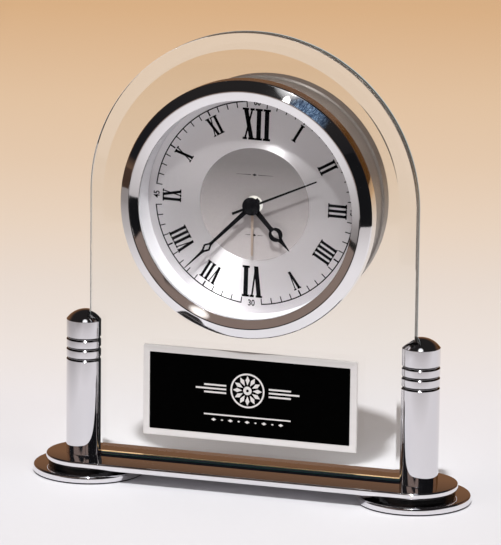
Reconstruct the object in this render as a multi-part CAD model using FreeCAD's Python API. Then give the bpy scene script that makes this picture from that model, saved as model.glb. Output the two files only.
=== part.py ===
"""Glass-panel desk alarm clock: a round quartz clock set in an arched glass on two posts.

Millimetres. +Z is up and the dial faces -Y, so +X is on the right of a person reading the clock.
The origin lies on the table under the middle of the clock's bounding box. Depths are written as
"d": the distance behind the front face of the glass. Clock-head places are (x, z) from the dial's
centre.
"""
import FreeCAD, Part
import math
import os

Vector = FreeCAD.Vector

# ---------------------------------------------------------------- driving dimensions
GLASS_FRONT_Y = -5.8        # puts the origin in the middle of the depth
GLASS_THICKNESS = 6.0
GLASS_HALF_WIDTH = 57.9
GLASS_BOTTOM_Z = 7.3
GLASS_BEVEL = 5.4           # width of the ground edge
GLASS_BEVEL_DEPTH = 1.2
GLASS_HOLE_R = 40.6

DIAL_Z = 98.3               # height of the dial's centre
ARCH_Z = 99.8               # height of the arch's centre

POST_X = 59.85
POST_R = 6.65
POST_TOP_Z = 57.3
POST_DOME = 3.35
POST_GROOVES = (9.8, 13.3, 16.85)       # below the post's top
GROOVE_WIDTH = 1.0
GROOVE_DEPTH = 0.45
SLOT_PLAY = 0.15
MID_D = GLASS_THICKNESS / 2             # depth of the posts, the plate and the feet

PAD_THICKNESS = 0.5
FOOT_X = 58.2
FOOT_R = 19.8
FOOT_TOP_R = 19.3
FOOT_TOP_Z = 2.8
SPACER_R = 14.3
PLATE_Z = 4.5               # underside of the base plate
PLATE_THICKNESS = 2.2
PLATE_HALF_LENGTH = 73.3
PLATE_END_R = 15.3
POST_SCREW_R = 1.5

TAG_WIDTH = 76.2            # a 3 inch by 1 1/4 inch engraving plate
TAG_HEIGHT = 31.75
TAG_X = 0.75                # it is stuck on a little right of centre
TAG_Z = 31.9
TAG_BORDER = 2.35
TAPE_THICKNESS = 0.3
TAG_THICKNESS = 1.2

BEZEL_R = 44.45
BEZEL_WALL_D = -5.9
RIDGE_R = 40.85
RIDGE_D = -8.1
WINDOW_R = 37.7
WINDOW_D = -6.95
CRYSTAL_D = (-6.6, -5.1)
CRYSTAL_R = 39.2
GASKET_D = -0.4

DIAL_D = (4.3, 4.7)
DIAL_R = 39.35
NECK_OUT_R = 40.3
NECK_IN_R = 39.5
DRUM_R = 41.9
DRUM_FRONT_D = 6.3
DRUM_REAR_D = 25.7
COVER_R = 40.5
COVER_D = (22.4, 24.4)

MOVEMENT_PLATE_D = (4.75, 5.45)
MIDDLE_PLATE_D = (9.3, 10.3)
BRIDGE_D = (15.0, 16.2)
COVER_SCREW_R = 36.0
COVER_SCREW_ANGLES = (52, 128, 248, 292)
BRIDGE_SCREWS = ((-8.5, 14.3), (13.5, 13.0), (16.5, -5.5))
BRIDGE_OUTLINE = ((-18.5, -7.8), (19.0, -7.8), (19.0, 10.5), (15.5, 15.5), (-9.5, 16.5), (-18.5, 9.0))

BATTERY_Z = -17.0
BATTERY_D = 16.2
BATTERY_R = 7.05
BATTERY_HALF = 24.6
WELL_HALF_X = 26.9
WELL_HALF_Z = 7.4
WELL_FLOOR_D = (7.6, 8.6)
WELL_WALL = 1.0
DOOR_D = (23.5, 24.4)

RUN = 0.05                  # radial clearance of a running fit
FIT = 0.02                  # radial clearance of a fixed fit
TRAIN_ARBOR_R = 0.35
SECOND_ARBOR_R = 0.5
MINUTE_PIPE_R = (0.55, 0.95)
HOUR_PIPE_R = (1.0, 1.4)
ALARM_PIPE_R = (1.45, 1.85)
BUSH_R = (1.9, 3.0)
KNOB_ARBOR_R = 0.6

# hand angles in degrees clockwise from 12: the clock shows about 4:37:11, the alarm 6:00
SECOND_ANGLE = 66.0
MINUTE_ANGLE = 225.5
HOUR_ANGLE = 137.7
ALARM_ANGLE = 180.0

# teeth and module of each mesh: wheel teeth, pinion teeth, module
ROTOR_MESH = (60, 12, 0.15)
SECOND_MESH = (60, 10, 0.20)
THIRD_MESH = (60, 8, 0.20)
CENTRE_MESH = (64, 8, 0.20 * 68 / 72)
MINUTE_MESH = (36, 12, 0.25)
HOUR_MESH = (40, 10, 0.24)
ALARM_MESH = (60, 12, 0.30)

# depth ranges of the gear layers
ALARM_LAYER = (5.7, 6.4)
HOUR_LAYER = (6.8, 7.5)
MINUTE_LAYER = (8.1, 8.8)
CENTRE_LAYER = (10.6, 11.3)
THIRD_LAYER = (11.7, 12.3)
SECOND_LAYER = (12.8, 13.4)
ROTOR_LAYER = (13.8, 14.4)


# ---------------------------------------------------------------- shapes
def polar(radius, degrees, start=(0.0, 0.0)):
    """Point at an angle from +X towards +Z, as seen from the front."""
    angle = math.radians(degrees)
    return (start[0] + radius * math.cos(angle), start[1] + radius * math.sin(angle))


def spacing(mesh):
    """Distance between the two axes of a mesh."""
    wheel, pinion, module = mesh
    return module * (wheel + pinion) / 2


THIRD_AT = polar(spacing(THIRD_MESH), 110)
INTERMEDIATE_AT = polar(spacing(SECOND_MESH), 195)
ROTOR_AT = polar(spacing(ROTOR_MESH), 180, INTERMEDIATE_AT)
MOTION_AT = polar(spacing(MINUTE_MESH), -30)
TIME_KNOB_AT = polar(spacing(MINUTE_MESH), -10, MOTION_AT)
ALARM_KNOB_AT = polar(spacing(ALARM_MESH), 50)


def y_of(d):
    return GLASS_FRONT_Y + d


def tube(r_out, d_range, at=(0.0, 0.0), r_in=0.0):
    """Round piece along Y, given in dial coordinates."""
    base = Vector(at[0], y_of(d_range[0]), DIAL_Z + at[1])
    length = d_range[1] - d_range[0]
    body = Part.makeCylinder(r_out, length, base, Vector(0, 1, 0))
    if r_in > 0:
        body = body.cut(Part.makeCylinder(r_in, length, base, Vector(0, 1, 0)))
    return body


def upright(radius, z_range, x, d=MID_D):
    """Round piece along Z."""
    return Part.makeCylinder(radius, z_range[1] - z_range[0], Vector(x, y_of(d), z_range[0]))


def block(x_range, d_range, z_range, z_zero=0.0):
    """Square-cornered piece between two corners."""
    size = (x_range[1] - x_range[0], d_range[1] - d_range[0], z_range[1] - z_range[0])
    return Part.makeBox(*size, Vector(x_range[0], y_of(d_range[0]), z_zero + z_range[0]))


def head_block(x_range, d_range, z_range):
    """Square-cornered piece given in dial coordinates."""
    return block(x_range, d_range, z_range, DIAL_Z)


def turned(profile, at=(0.0, 0.0)):
    """Solid turned about a Y axis from (radius, d) points."""
    points = [Vector(at[0] + radius, y_of(d), DIAL_Z + at[1]) for radius, d in profile]
    face = Part.Face(Part.makePolygon(points + [points[0]]))
    return face.revolve(Vector(at[0], 0, DIAL_Z + at[1]), Vector(0, 1, 0), 360)


def turned_upright(edges, x):
    """Solid turned about a vertical axis through x and the posts' depth."""
    face = Part.Face(Part.Wire(edges))
    return face.revolve(Vector(x, y_of(MID_D), 0), Vector(0, 0, 1), 360)


def flat(outline, d_range):
    """Sheet piece from an (x, z) outline in dial coordinates."""
    points = [Vector(x, y_of(d_range[0]), DIAL_Z + z) for x, z in outline]
    face = Part.Face(Part.makePolygon(points + [points[0]]))
    return face.extrude(Vector(0, d_range[1] - d_range[0], 0))


def bar(start, end, half_width, d_range):
    """Straight strip with round ends between two dial points."""
    run = math.hypot(end[0] - start[0], end[1] - start[1])
    side = ((start[1] - end[1]) / run * half_width, (end[0] - start[0]) / run * half_width)
    corners = [(start[0] + side[0], start[1] + side[1]), (end[0] + side[0], end[1] + side[1]),
               (end[0] - side[0], end[1] - side[1]), (start[0] - side[0], start[1] - side[1])]
    strip = flat(corners, d_range)
    for point in (start, end):
        strip = strip.fuse(tube(half_width, d_range, point))
    return strip.removeSplitter()


def gear(teeth, module, d_range, at, phase, slim=0.0):
    """Spur gear whose first tooth points at the phase angle; slim narrows its teeth at the root."""
    pitch_r = teeth * module / 2
    pitch = 360.0 / teeth
    flank = ((pitch_r - 1.2 * module, 0.27 - slim), (pitch_r, 0.205), (pitch_r + 0.8 * module, 0.10))
    outline = []
    for tooth in range(teeth):
        middle = phase + tooth * pitch
        outline += [polar(radius, middle - share * pitch, at) for radius, share in flank]
        outline += [polar(radius, middle + share * pitch, at) for radius, share in reversed(flank)]
    return flat(outline, d_range)


def mesh_phase(driver_teeth, driver_phase, line_angle, teeth):
    """Phase of a gear that meshes with a driver lying at the other end of the line of centres."""
    shift = (line_angle - driver_phase) * driver_teeth / teeth
    return line_angle + 180 + 180.0 / teeth + shift


def clock_angle(degrees):
    """Turn an angle clockwise from 12 into an angle from +X."""
    return 90.0 - degrees


# ---------------------------------------------------------------- stand
def glass_outline(inset, d):
    """Arch outline of the glass, its sides and top moved in by the inset."""
    half = GLASS_HALF_WIDTH - inset
    y = y_of(d)
    corners = [Vector(-half, y, GLASS_BOTTOM_Z), Vector(-half, y, ARCH_Z), Vector(0, y, ARCH_Z + half),
               Vector(half, y, ARCH_Z), Vector(half, y, GLASS_BOTTOM_Z)]
    arc = Part.Arc(corners[1], corners[2], corners[3]).toShape()
    return Part.Wire([Part.makeLine(corners[0], corners[1]), arc,
                      Part.makeLine(corners[3], corners[4]), Part.makeLine(corners[4], corners[0])])


def glass_panel():
    rear = Part.Face(glass_outline(0, GLASS_BEVEL_DEPTH))
    slab = rear.extrude(Vector(0, GLASS_THICKNESS - GLASS_BEVEL_DEPTH, 0))
    ground = Part.makeLoft([glass_outline(GLASS_BEVEL, 0), glass_outline(0, GLASS_BEVEL_DEPTH)],
                           True, True)
    return slab.fuse(ground).removeSplitter().cut(tube(GLASS_HOLE_R, (-1, GLASS_THICKNESS + 1)))


def base_plate():
    z_range = (PLATE_Z, PLATE_Z + PLATE_THICKNESS)
    reach = PLATE_HALF_LENGTH - PLATE_END_R
    plate = block((-reach, reach), (MID_D - PLATE_END_R, MID_D + PLATE_END_R), z_range)
    for side in (-1, 1):
        plate = plate.fuse(upright(PLATE_END_R, z_range, side * reach))
    plate = plate.removeSplitter()
    rims = [edge for edge in plate.Edges if abs(edge.BoundBox.ZMax - edge.BoundBox.ZMin) < 1e-6]
    plate = plate.makeFillet(0.5, rims)
    for side in (-1, 1):
        plate = plate.cut(upright(POST_SCREW_R + RUN, (0, 20), side * POST_X))
    return plate


def foot(side):
    """Turned disc with a slightly tapered rim and a counterbore for the post screw."""
    x = side * FOOT_X
    body = Part.makeCone(FOOT_R, FOOT_TOP_R, FOOT_TOP_Z - PAD_THICKNESS,
                         Vector(x, y_of(MID_D), PAD_THICKNESS))
    rims = [edge for edge in body.Edges if abs(edge.BoundBox.ZMax - edge.BoundBox.ZMin) < 1e-6]
    body = body.makeFillet(0.3, rims)
    body = body.cut(upright(POST_SCREW_R + RUN, (0, 10), side * POST_X))
    return body.cut(upright(2.9, (0, PAD_THICKNESS + 1.4), side * POST_X))


def foot_pad(side):
    return upright(FOOT_R - 0.8, (0, PAD_THICKNESS), side * FOOT_X)


def foot_spacer(side):
    body = upright(SPACER_R, (FOOT_TOP_Z, PLATE_Z), side * FOOT_X)
    return body.cut(upright(POST_SCREW_R + RUN, (0, 10), side * POST_X))


def post(side):
    """Domed post with three turned grooves, slotted from its inner side for the glass."""
    x = side * POST_X
    foot_z = PLATE_Z + PLATE_THICKNESS
    shoulder = POST_TOP_Z - POST_DOME
    dome_r = (POST_R ** 2 + POST_DOME ** 2) / (2 * POST_DOME)
    half_angle = math.asin(POST_R / dome_r) / 2
    dome_mid = (dome_r * math.sin(half_angle), POST_TOP_Z - dome_r * (1 - math.cos(half_angle)))
    y = y_of(MID_D)
    axis_low, axis_high = Vector(x, y, foot_z), Vector(x, y, POST_TOP_Z)
    rim_low, rim_high = Vector(x + POST_R, y, foot_z), Vector(x + POST_R, y, shoulder)
    dome = Part.Arc(rim_high, Vector(x + dome_mid[0], y, dome_mid[1]), axis_high).toShape()
    body = turned_upright([Part.makeLine(axis_low, rim_low), Part.makeLine(rim_low, rim_high),
                           dome, Part.makeLine(axis_high, axis_low)], x)
    for below in POST_GROOVES:
        middle = POST_TOP_Z - below
        groove_z = (middle - GROOVE_WIDTH / 2, middle + GROOVE_WIDTH / 2)
        ring = upright(POST_R + 1, groove_z, x).cut(upright(POST_R - GROOVE_DEPTH, groove_z, x))
        body = body.cut(ring)
    edge = GLASS_HALF_WIDTH + SLOT_PLAY
    slot_x = (side * edge, side * (POST_X - POST_R - 1))
    slot = block((min(slot_x), max(slot_x)), (-SLOT_PLAY, GLASS_THICKNESS + SLOT_PLAY),
                 (GLASS_BOTTOM_Z, POST_TOP_Z + 1))
    bore = upright(POST_SCREW_R + RUN, (0, foot_z + 12.0), x)
    return body.cut(slot).cut(bore)


def post_screws():
    """One countersunk machine screw up through each foot into its post."""
    screws = []
    for side in (-1, 1):
        head = upright(2.7, (PAD_THICKNESS + 0.1, PAD_THICKNESS + 1.4), side * POST_X)
        shank = upright(POST_SCREW_R, (PAD_THICKNESS + 1.4, PLATE_Z + PLATE_THICKNESS + 11.0), side * POST_X)
        drive = block((side * POST_X - 1.9, side * POST_X + 1.9), (MID_D - 0.3, MID_D + 0.3),
                      (PAD_THICKNESS, PAD_THICKNESS + 0.6))
        screws.append(head.fuse(shank).cut(drive).removeSplitter())
    return Part.makeCompound(screws)


def tag_block(inset, d_range):
    return block((TAG_X - TAG_WIDTH / 2 + inset, TAG_X + TAG_WIDTH / 2 - inset), d_range,
                 (TAG_Z - TAG_HEIGHT / 2 + inset, TAG_Z + TAG_HEIGHT / 2 - inset))


def engraving_plate():
    front = -TAPE_THICKNESS - TAG_THICKNESS
    pocket = tag_block(TAG_BORDER, (front - 1, front + 0.3))
    return tag_block(0, (front, -TAPE_THICKNESS)).cut(pocket)


def engraving_insert():
    front = -TAPE_THICKNESS - TAG_THICKNESS
    return tag_block(TAG_BORDER + 0.05, (front - 0.05, front + 0.3))


def mounting_tape():
    strips = []
    for side in (-1, 1):
        middle = TAG_Z + side * 9.0
        strips.append(block((TAG_X - 34, TAG_X + 34), (-TAPE_THICKNESS, 0), (middle - 5, middle + 5)))
    return Part.makeCompound(strips)


# ---------------------------------------------------------------- clock head, fixed pieces
def bezel_ring():
    return turned([(BEZEL_R - 0.2, GASKET_D), (BEZEL_R, GASKET_D - 0.2), (BEZEL_R, BEZEL_WALL_D),
                   (BEZEL_R - 0.15, BEZEL_WALL_D - 0.2), (RIDGE_R + 0.35, RIDGE_D + 0.12),
                   (RIDGE_R, RIDGE_D), (RIDGE_R - 0.35, RIDGE_D + 0.06), (WINDOW_R, WINDOW_D),
                   (WINDOW_R, CRYSTAL_D[0]), (CRYSTAL_R + 0.1, CRYSTAL_D[0]), (CRYSTAL_R + 0.1, -4.3),
                   (NECK_OUT_R + 0.1, -4.3), (NECK_OUT_R + 0.1, GASKET_D)])


def rehaut_ring():
    """Satin ring that spaces the crystal from the dial."""
    return turned([(CRYSTAL_R, CRYSTAL_D[1]), (CRYSTAL_R, DIAL_D[0]), (WINDOW_R - 0.05, DIAL_D[0]),
                   (WINDOW_R + 0.05, CRYSTAL_D[1])])


def drum_shell():
    """Rear drum with the neck that passes through the glass and screws into the bezel."""
    profile = [(NECK_IN_R, -4.0), (NECK_OUT_R, -4.0), (NECK_OUT_R, DRUM_FRONT_D),
               (DRUM_R - 0.2, DRUM_FRONT_D), (DRUM_R, DRUM_FRONT_D + 0.2), (DRUM_R, 15.0),
               (DRUM_R - 0.5, 15.5), (DRUM_R - 0.5, 19.4), (DRUM_R + 0.1, 19.9)]
    corner = 1.5
    for step in range(6):
        angle = math.radians(step * 18)
        profile.append((DRUM_R + 0.1 - corner + corner * math.cos(angle),
                        DRUM_REAR_D - corner + corner * math.sin(angle)))
    profile += [(COVER_R + 0.1, DRUM_REAR_D), (COVER_R + 0.1, COVER_D[0]), (NECK_IN_R, COVER_D[0])]
    return turned(profile)


def dial():
    """Sheet metal dial with a centre hole for the movement's bush."""
    return tube(DIAL_R, DIAL_D, (0, 0), BUSH_R[1] + RUN)


def cover_screw_places():
    return [polar(COVER_SCREW_R, angle) for angle in COVER_SCREW_ANGLES]


def movement_plate():
    """Front plate of the movement: centre bush, pillars for the cover and posts for the bridge."""
    body = tube(DIAL_R, MOVEMENT_PLATE_D)
    body = body.fuse(tube(BUSH_R[1], (DIAL_D[0] - 0.1, ALARM_LAYER[0] - 0.2)))
    for at in cover_screw_places():
        body = body.fuse(tube(2.6, (MOVEMENT_PLATE_D[1], COVER_D[0]), at))
    for at in BRIDGE_SCREWS:
        body = body.fuse(tube(1.9, (MOVEMENT_PLATE_D[1], MIDDLE_PLATE_D[0]), at))
    body = body.cut(tube(BUSH_R[0], (0, 10)))
    for at in cover_screw_places():
        body = body.cut(tube(1.05, (8.0, 30), at))
    for at in BRIDGE_SCREWS:
        body = body.cut(tube(0.75, (6.0, 30), at))
    body = body.cut(tube(TRAIN_ARBOR_R + RUN, (5.0, 6), ALARM_KNOB_AT))
    return body.removeSplitter()


def middle_plate():
    """Plate between the motion work and the train, with the stud of the motion wheel."""
    body = flat(BRIDGE_OUTLINE, MIDDLE_PLATE_D)
    body = body.fuse(tube(0.5, (HOUR_LAYER[0] - 0.3, MIDDLE_PLATE_D[0]), MOTION_AT))
    body = body.cut(tube(MINUTE_PIPE_R[1] + RUN, (9, 11), (0, 0)))
    for at in (THIRD_AT, INTERMEDIATE_AT, ROTOR_AT):
        body = body.cut(tube(TRAIN_ARBOR_R + RUN, (9.6, 11), at))
    for at in (TIME_KNOB_AT, ALARM_KNOB_AT):
        body = body.cut(tube(KNOB_ARBOR_R + RUN, (9, 11), at))
    for at in BRIDGE_SCREWS:
        body = body.cut(tube(0.8, (9, 11), at))
    return body


def train_bridge():
    """Rear plate of the train, on three pillars."""
    body = flat(BRIDGE_OUTLINE, BRIDGE_D)
    for at in BRIDGE_SCREWS:
        body = body.fuse(tube(1.9, (MIDDLE_PLATE_D[1], BRIDGE_D[0]), at))
    body = body.cut(tube(SECOND_ARBOR_R + RUN, (14, 16.0), (0, 0)))
    for at in (THIRD_AT, INTERMEDIATE_AT, ROTOR_AT):
        body = body.cut(tube(TRAIN_ARBOR_R + RUN, (14, 16.0), at))
    for at in (TIME_KNOB_AT, ALARM_KNOB_AT):
        body = body.cut(tube(KNOB_ARBOR_R + RUN, (14, 17), at))
    for at in BRIDGE_SCREWS:
        body = body.cut(tube(0.8, (10, 17), at))
    return body.removeSplitter()


def screw(at, head_d, tip_d, shank_r, head_r, head_height):
    """Small screw entered from the back, with a slotted head."""
    head = tube(head_r, (head_d - head_height, head_d), at)
    shank = tube(shank_r, (tip_d, head_d - head_height), at)
    drive = head_block((at[0] - head_r, at[0] + head_r), (head_d - head_height / 2, head_d + 1),
                       (at[1] - 0.2, at[1] + 0.2))
    return head.fuse(shank).cut(drive).removeSplitter()


def bridge_screws():
    return Part.makeCompound([screw(at, BRIDGE_D[1] + 0.8, 6.4, 0.7, 1.4, 0.8) for at in BRIDGE_SCREWS])


def cover_screws():
    return Part.makeCompound([screw(at, COVER_D[1] - 0.1, 9.0, 1.0, 2.0, 1.0)
                              for at in cover_screw_places()])


def rear_cover():
    """Black rear cover with the battery well, the knob holes, the switch slot and sound holes."""
    body = tube(COVER_R, COVER_D)
    well_x = (-WELL_HALF_X - WELL_WALL, WELL_HALF_X + WELL_WALL)
    well_z = (BATTERY_Z - WELL_HALF_Z - WELL_WALL, BATTERY_Z + WELL_HALF_Z + WELL_WALL)
    body = body.fuse(head_block(well_x, (WELL_FLOOR_D[0], COVER_D[0]), well_z))
    body = body.cut(head_block((-WELL_HALF_X, WELL_HALF_X), (WELL_FLOOR_D[1], 30),
                               (BATTERY_Z - WELL_HALF_Z, BATTERY_Z + WELL_HALF_Z)))
    for at in (TIME_KNOB_AT, ALARM_KNOB_AT):
        body = body.cut(tube(KNOB_ARBOR_R + RUN, (20, 30), at))
    for at in cover_screw_places():
        body = body.cut(tube(1.05, (20, 30), at)).cut(tube(2.1, (COVER_D[1] - 1.1, 30), at))
    body = body.cut(head_block((-24.5, -15.5), (20, 30), (8.4, 11.6)))
    for row in range(4):
        for column in range(4):
            at = (-7.5 + 3.0 * column, 22.0 + 3.0 * row)
            body = body.cut(tube(0.8, (20, 30), at))
    return body.removeSplitter()


def battery():
    """Size AA cell with its positive nub on the right."""
    centre = Vector(-BATTERY_HALF, y_of(BATTERY_D), DIAL_Z + BATTERY_Z)
    can = Part.makeCylinder(BATTERY_R, 2 * BATTERY_HALF - 0.8, centre, Vector(1, 0, 0))
    can = can.makeFillet(0.5, can.Edges[0:1] + can.Edges[2:3])
    nub = Part.makeCylinder(2.7, 1.2, centre + Vector(2 * BATTERY_HALF - 0.8, 0, 0), Vector(1, 0, 0))
    return can.fuse(nub)


def positive_contact():
    x = BATTERY_HALF + 0.5
    return head_block((x, x + 0.5), (10.5, 21.5), (BATTERY_Z - 5.5, BATTERY_Z + 5.5)).fuse(
        head_block((x, x + 0.5), (WELL_FLOOR_D[1] + 0.2, 10.5), (BATTERY_Z - 2, BATTERY_Z + 2))
    ).removeSplitter()


def negative_contact():
    """Plate with a coil spring of three rings joined by a small cone."""
    x = -WELL_HALF_X + 0.1
    body = head_block((x, x + 0.5), (10.5, 21.5), (BATTERY_Z - 5.5, BATTERY_Z + 5.5))
    centre = Vector(x + 0.5, y_of(BATTERY_D), DIAL_Z + BATTERY_Z)
    gap = -BATTERY_HALF - centre.x - 0.02
    outer = Part.makeCone(5.0, 3.0, gap, centre, Vector(1, 0, 0))
    inner = Part.makeCone(4.4, 2.4, gap, centre, Vector(1, 0, 0))
    return body.fuse(outer.cut(inner)).removeSplitter()


def stator():
    """Soft iron pole plate around the rotor, with the core that passes through the coil."""
    layer = (11.2, 12.2)
    top, low, column = (-24.0, 8.0), (-24.0, -5.0), 1.6
    body = tube(4.4, layer, ROTOR_AT)
    body = body.fuse(bar(ROTOR_AT, (-16.0, 6.4), 1.9, layer)).fuse(bar((-16.0, 6.4), top, 1.9, layer))
    body = body.fuse(bar(ROTOR_AT, (-17.0, -5.0), 1.9, layer)).fuse(bar((-17.0, -5.0), low, 1.9, layer))
    body = body.fuse(head_block((-24 - column, -24 + column), layer, (low[1], top[1])))
    return body.cut(tube(2.9, layer, ROTOR_AT)).removeSplitter()


def coil():
    """Bobbin and copper winding round the stator's core."""
    middle = Vector(-24.0, y_of(11.7), DIAL_Z - 2.6)
    up = Vector(0, 0, 1)
    body = Part.makeCylinder(3.3, 7.6, middle, up)
    for height in (0, 7.0):
        body = body.fuse(Part.makeCylinder(4.2, 0.6, middle + Vector(0, 0, height), up))
    core = head_block((-25.7, -22.3), (11.1, 12.3), (-10, 12))
    return body.cut(core).removeSplitter()


def circuit_board():
    """Board with the driver chip, above the coil."""
    board = head_block((-27, -11.5), (12.6, 13.6), (13.2, 24))
    chip = tube(2.6, (13.6, 14.8), (-21.5, 18.5))
    return board.fuse(chip).removeSplitter()


def quartz_can():
    """Quartz crystal can soldered flat on the board."""
    start = Vector(-15.0, y_of(14.7), DIAL_Z + 15.0)
    return Part.makeCylinder(1.05, 6.0, start, Vector(0, 0, 1))


def buzzer():
    """Piezo sounder disc behind the sound holes."""
    body = tube(8.0, (19.6, COVER_D[0]), (-3.0, 26.5), 6.9)
    return body.fuse(tube(8.0, (19.2, 19.6), (-3.0, 26.5))).removeSplitter()


def alarm_contact():
    """Leaf spring that the alarm wheel's cam closes."""
    front = MOVEMENT_PLATE_D[1]
    return head_block((8.6, 9.4), (front, front + 0.15), (-14.0, -2.0)).fuse(
        head_block((8.6, 9.4), (front, 7.0), (-14.6, -14.0))).removeSplitter()


# ---------------------------------------------------------------- moving pieces
def arbor(at, d_range, radius=TRAIN_ARBOR_R):
    return tube(radius, d_range, at)


def stepped_wheel(at, wheel, pinion, wheel_layer, pinion_layer, arbor_d):
    """Wheel and pinion on one arbor; each gear is (teeth, module, phase)."""
    body = gear(wheel[0], wheel[1], wheel_layer, at, wheel[2])
    body = body.fuse(gear(pinion[0], pinion[1], pinion_layer, at, pinion[2], 0.06))
    return body.fuse(arbor(at, arbor_d)).removeSplitter()


def grown(layer):
    """A pinion is a little wider than the wheel it meets."""
    return (layer[0] - 0.1, layer[1] + 0.1)


def train_phases():
    """Phases of the train from the rotor on, so that every pair is in mesh at rest."""
    wheel, pinion, _ = ROTOR_MESH
    phases = {"rotor": 0.0}
    phases["intermediate_wheel"] = mesh_phase(pinion, phases["rotor"], 0, wheel)
    phases["intermediate_pinion"] = 0.0
    wheel, pinion, _ = SECOND_MESH
    phases["second_wheel"] = mesh_phase(pinion, phases["intermediate_pinion"], 195 - 180, wheel)
    phases["second_pinion"] = 0.0
    wheel, pinion, _ = THIRD_MESH
    phases["third_wheel"] = mesh_phase(pinion, phases["second_pinion"], 110, wheel)
    phases["third_pinion"] = 0.0
    wheel, pinion, _ = CENTRE_MESH
    phases["centre_wheel"] = mesh_phase(pinion, phases["third_pinion"], 110 - 180, wheel)
    phases["minute_pinion"] = 0.0
    wheel, pinion, _ = MINUTE_MESH
    phases["motion_wheel"] = mesh_phase(pinion, phases["minute_pinion"], -30, wheel)
    phases["time_pinion"] = mesh_phase(wheel, phases["motion_wheel"], -10, pinion)
    phases["motion_pinion"] = 0.0
    wheel, pinion, _ = HOUR_MESH
    phases["hour_wheel"] = mesh_phase(pinion, phases["motion_pinion"], -30 + 180, wheel)
    wheel, pinion, _ = ALARM_MESH
    phases["alarm_pinion"] = 0.0
    phases["alarm_wheel"] = mesh_phase(pinion, phases["alarm_pinion"], 50 + 180, wheel)
    return phases


def rotor(phases):
    body = arbor(ROTOR_AT, (MIDDLE_PLATE_D[0] + 0.5, 15.8))
    body = body.fuse(tube(2.5, (10.7, 12.7), ROTOR_AT))
    pinion = gear(ROTOR_MESH[1], ROTOR_MESH[2], grown(ROTOR_LAYER), ROTOR_AT, phases["rotor"], 0.06)
    return body.fuse(pinion).removeSplitter()


def intermediate_wheel(phases):
    return stepped_wheel(INTERMEDIATE_AT,
                         (ROTOR_MESH[0], ROTOR_MESH[2], phases["intermediate_wheel"]),
                         (SECOND_MESH[1], SECOND_MESH[2], phases["intermediate_pinion"]),
                         ROTOR_LAYER, grown(SECOND_LAYER), (MIDDLE_PLATE_D[0] + 0.5, 15.8))


def second_wheel(phases):
    """Fourth wheel; its long arbor carries the second hand."""
    body = gear(SECOND_MESH[0], SECOND_MESH[2], SECOND_LAYER, (0, 0), phases["second_wheel"])
    body = body.fuse(gear(THIRD_MESH[1], THIRD_MESH[2], grown(THIRD_LAYER), (0, 0),
                          phases["second_pinion"], 0.06))
    return body.fuse(arbor((0, 0), (0.3, 15.8), SECOND_ARBOR_R)).removeSplitter()


def third_wheel(phases):
    return stepped_wheel(THIRD_AT, (THIRD_MESH[0], THIRD_MESH[2], phases["third_wheel"]),
                         (CENTRE_MESH[1], CENTRE_MESH[2], phases["third_pinion"]),
                         THIRD_LAYER, grown(CENTRE_LAYER), (MIDDLE_PLATE_D[0] + 0.5, 15.8))


def centre_wheel(phases):
    """Turns the minute pipe through a friction fit, which slips when the hands are set."""
    body = gear(CENTRE_MESH[0], CENTRE_MESH[2], CENTRE_LAYER, (0, 0), phases["centre_wheel"])
    return body.cut(tube(MINUTE_PIPE_R[1] + RUN, (9, 13)))


def minute_pipe(phases):
    body = tube(MINUTE_PIPE_R[1], (0.9, 11.4))
    body = body.fuse(gear(MINUTE_MESH[1], MINUTE_MESH[2], grown(MINUTE_LAYER), (0, 0),
                          phases["minute_pinion"], 0.06))
    return body.cut(tube(MINUTE_PIPE_R[0], (0, 12))).removeSplitter()


def motion_wheel(phases):
    """Steps the minute pipe down to the hour wheel, on a fixed stud."""
    body = gear(MINUTE_MESH[0], MINUTE_MESH[2], MINUTE_LAYER, MOTION_AT, phases["motion_wheel"])
    body = body.fuse(gear(HOUR_MESH[1], HOUR_MESH[2], (HOUR_LAYER[0] - 0.1, MINUTE_LAYER[0]), MOTION_AT,
                          phases["motion_pinion"], 0.06))
    return body.cut(tube(0.5 + RUN, (5, 10), MOTION_AT)).removeSplitter()


def hour_wheel(phases):
    body = gear(HOUR_MESH[0], HOUR_MESH[2], HOUR_LAYER, (0, 0), phases["hour_wheel"])
    body = body.fuse(tube(HOUR_PIPE_R[1], (1.5, HOUR_LAYER[1])))
    return body.cut(tube(HOUR_PIPE_R[0], (0, 12))).removeSplitter()


def alarm_wheel(phases):
    body = gear(ALARM_MESH[0], ALARM_MESH[2], ALARM_LAYER, (0, 0), phases["alarm_wheel"])
    body = body.fuse(tube(ALARM_PIPE_R[1], (2.05, ALARM_LAYER[1])))
    return body.cut(tube(ALARM_PIPE_R[0], (0, 12))).removeSplitter()


def hand_outline(angle, stations):
    """Hand outline from (distance, half width) stations along its clock angle."""
    direction = polar(1, clock_angle(angle))
    side = (-direction[1], direction[0])
    left = [(direction[0] * s + side[0] * w, direction[1] * s + side[1] * w) for s, w in stations]
    right = [(direction[0] * s - side[0] * w, direction[1] * s - side[1] * w) for s, w in stations]
    return left + right[::-1]


def hand(angle, stations, boss_r, bore_r, d_range):
    body = flat(hand_outline(angle, stations), d_range).fuse(tube(boss_r, d_range))
    return body.cut(tube(bore_r, (d_range[0] - 1, d_range[1] + 1))).removeSplitter()


def second_hand():
    """Thin hand with a counterweight tail under a domed cap."""
    arm = flat(hand_outline(SECOND_ANGLE, [(-7.2, 0.45), (0, 0.42), (18, 0.32), (25.2, 0.24)]), (0.3, 0.5))
    cap = turned([(0, -0.1), (1.2, -0.05), (2.2, 0.1), (2.9, 0.35), (3.15, 0.65), (0, 0.65)])
    return arm.fuse(cap).cut(tube(SECOND_ARBOR_R + FIT, (0.3, 2))).removeSplitter()


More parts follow.
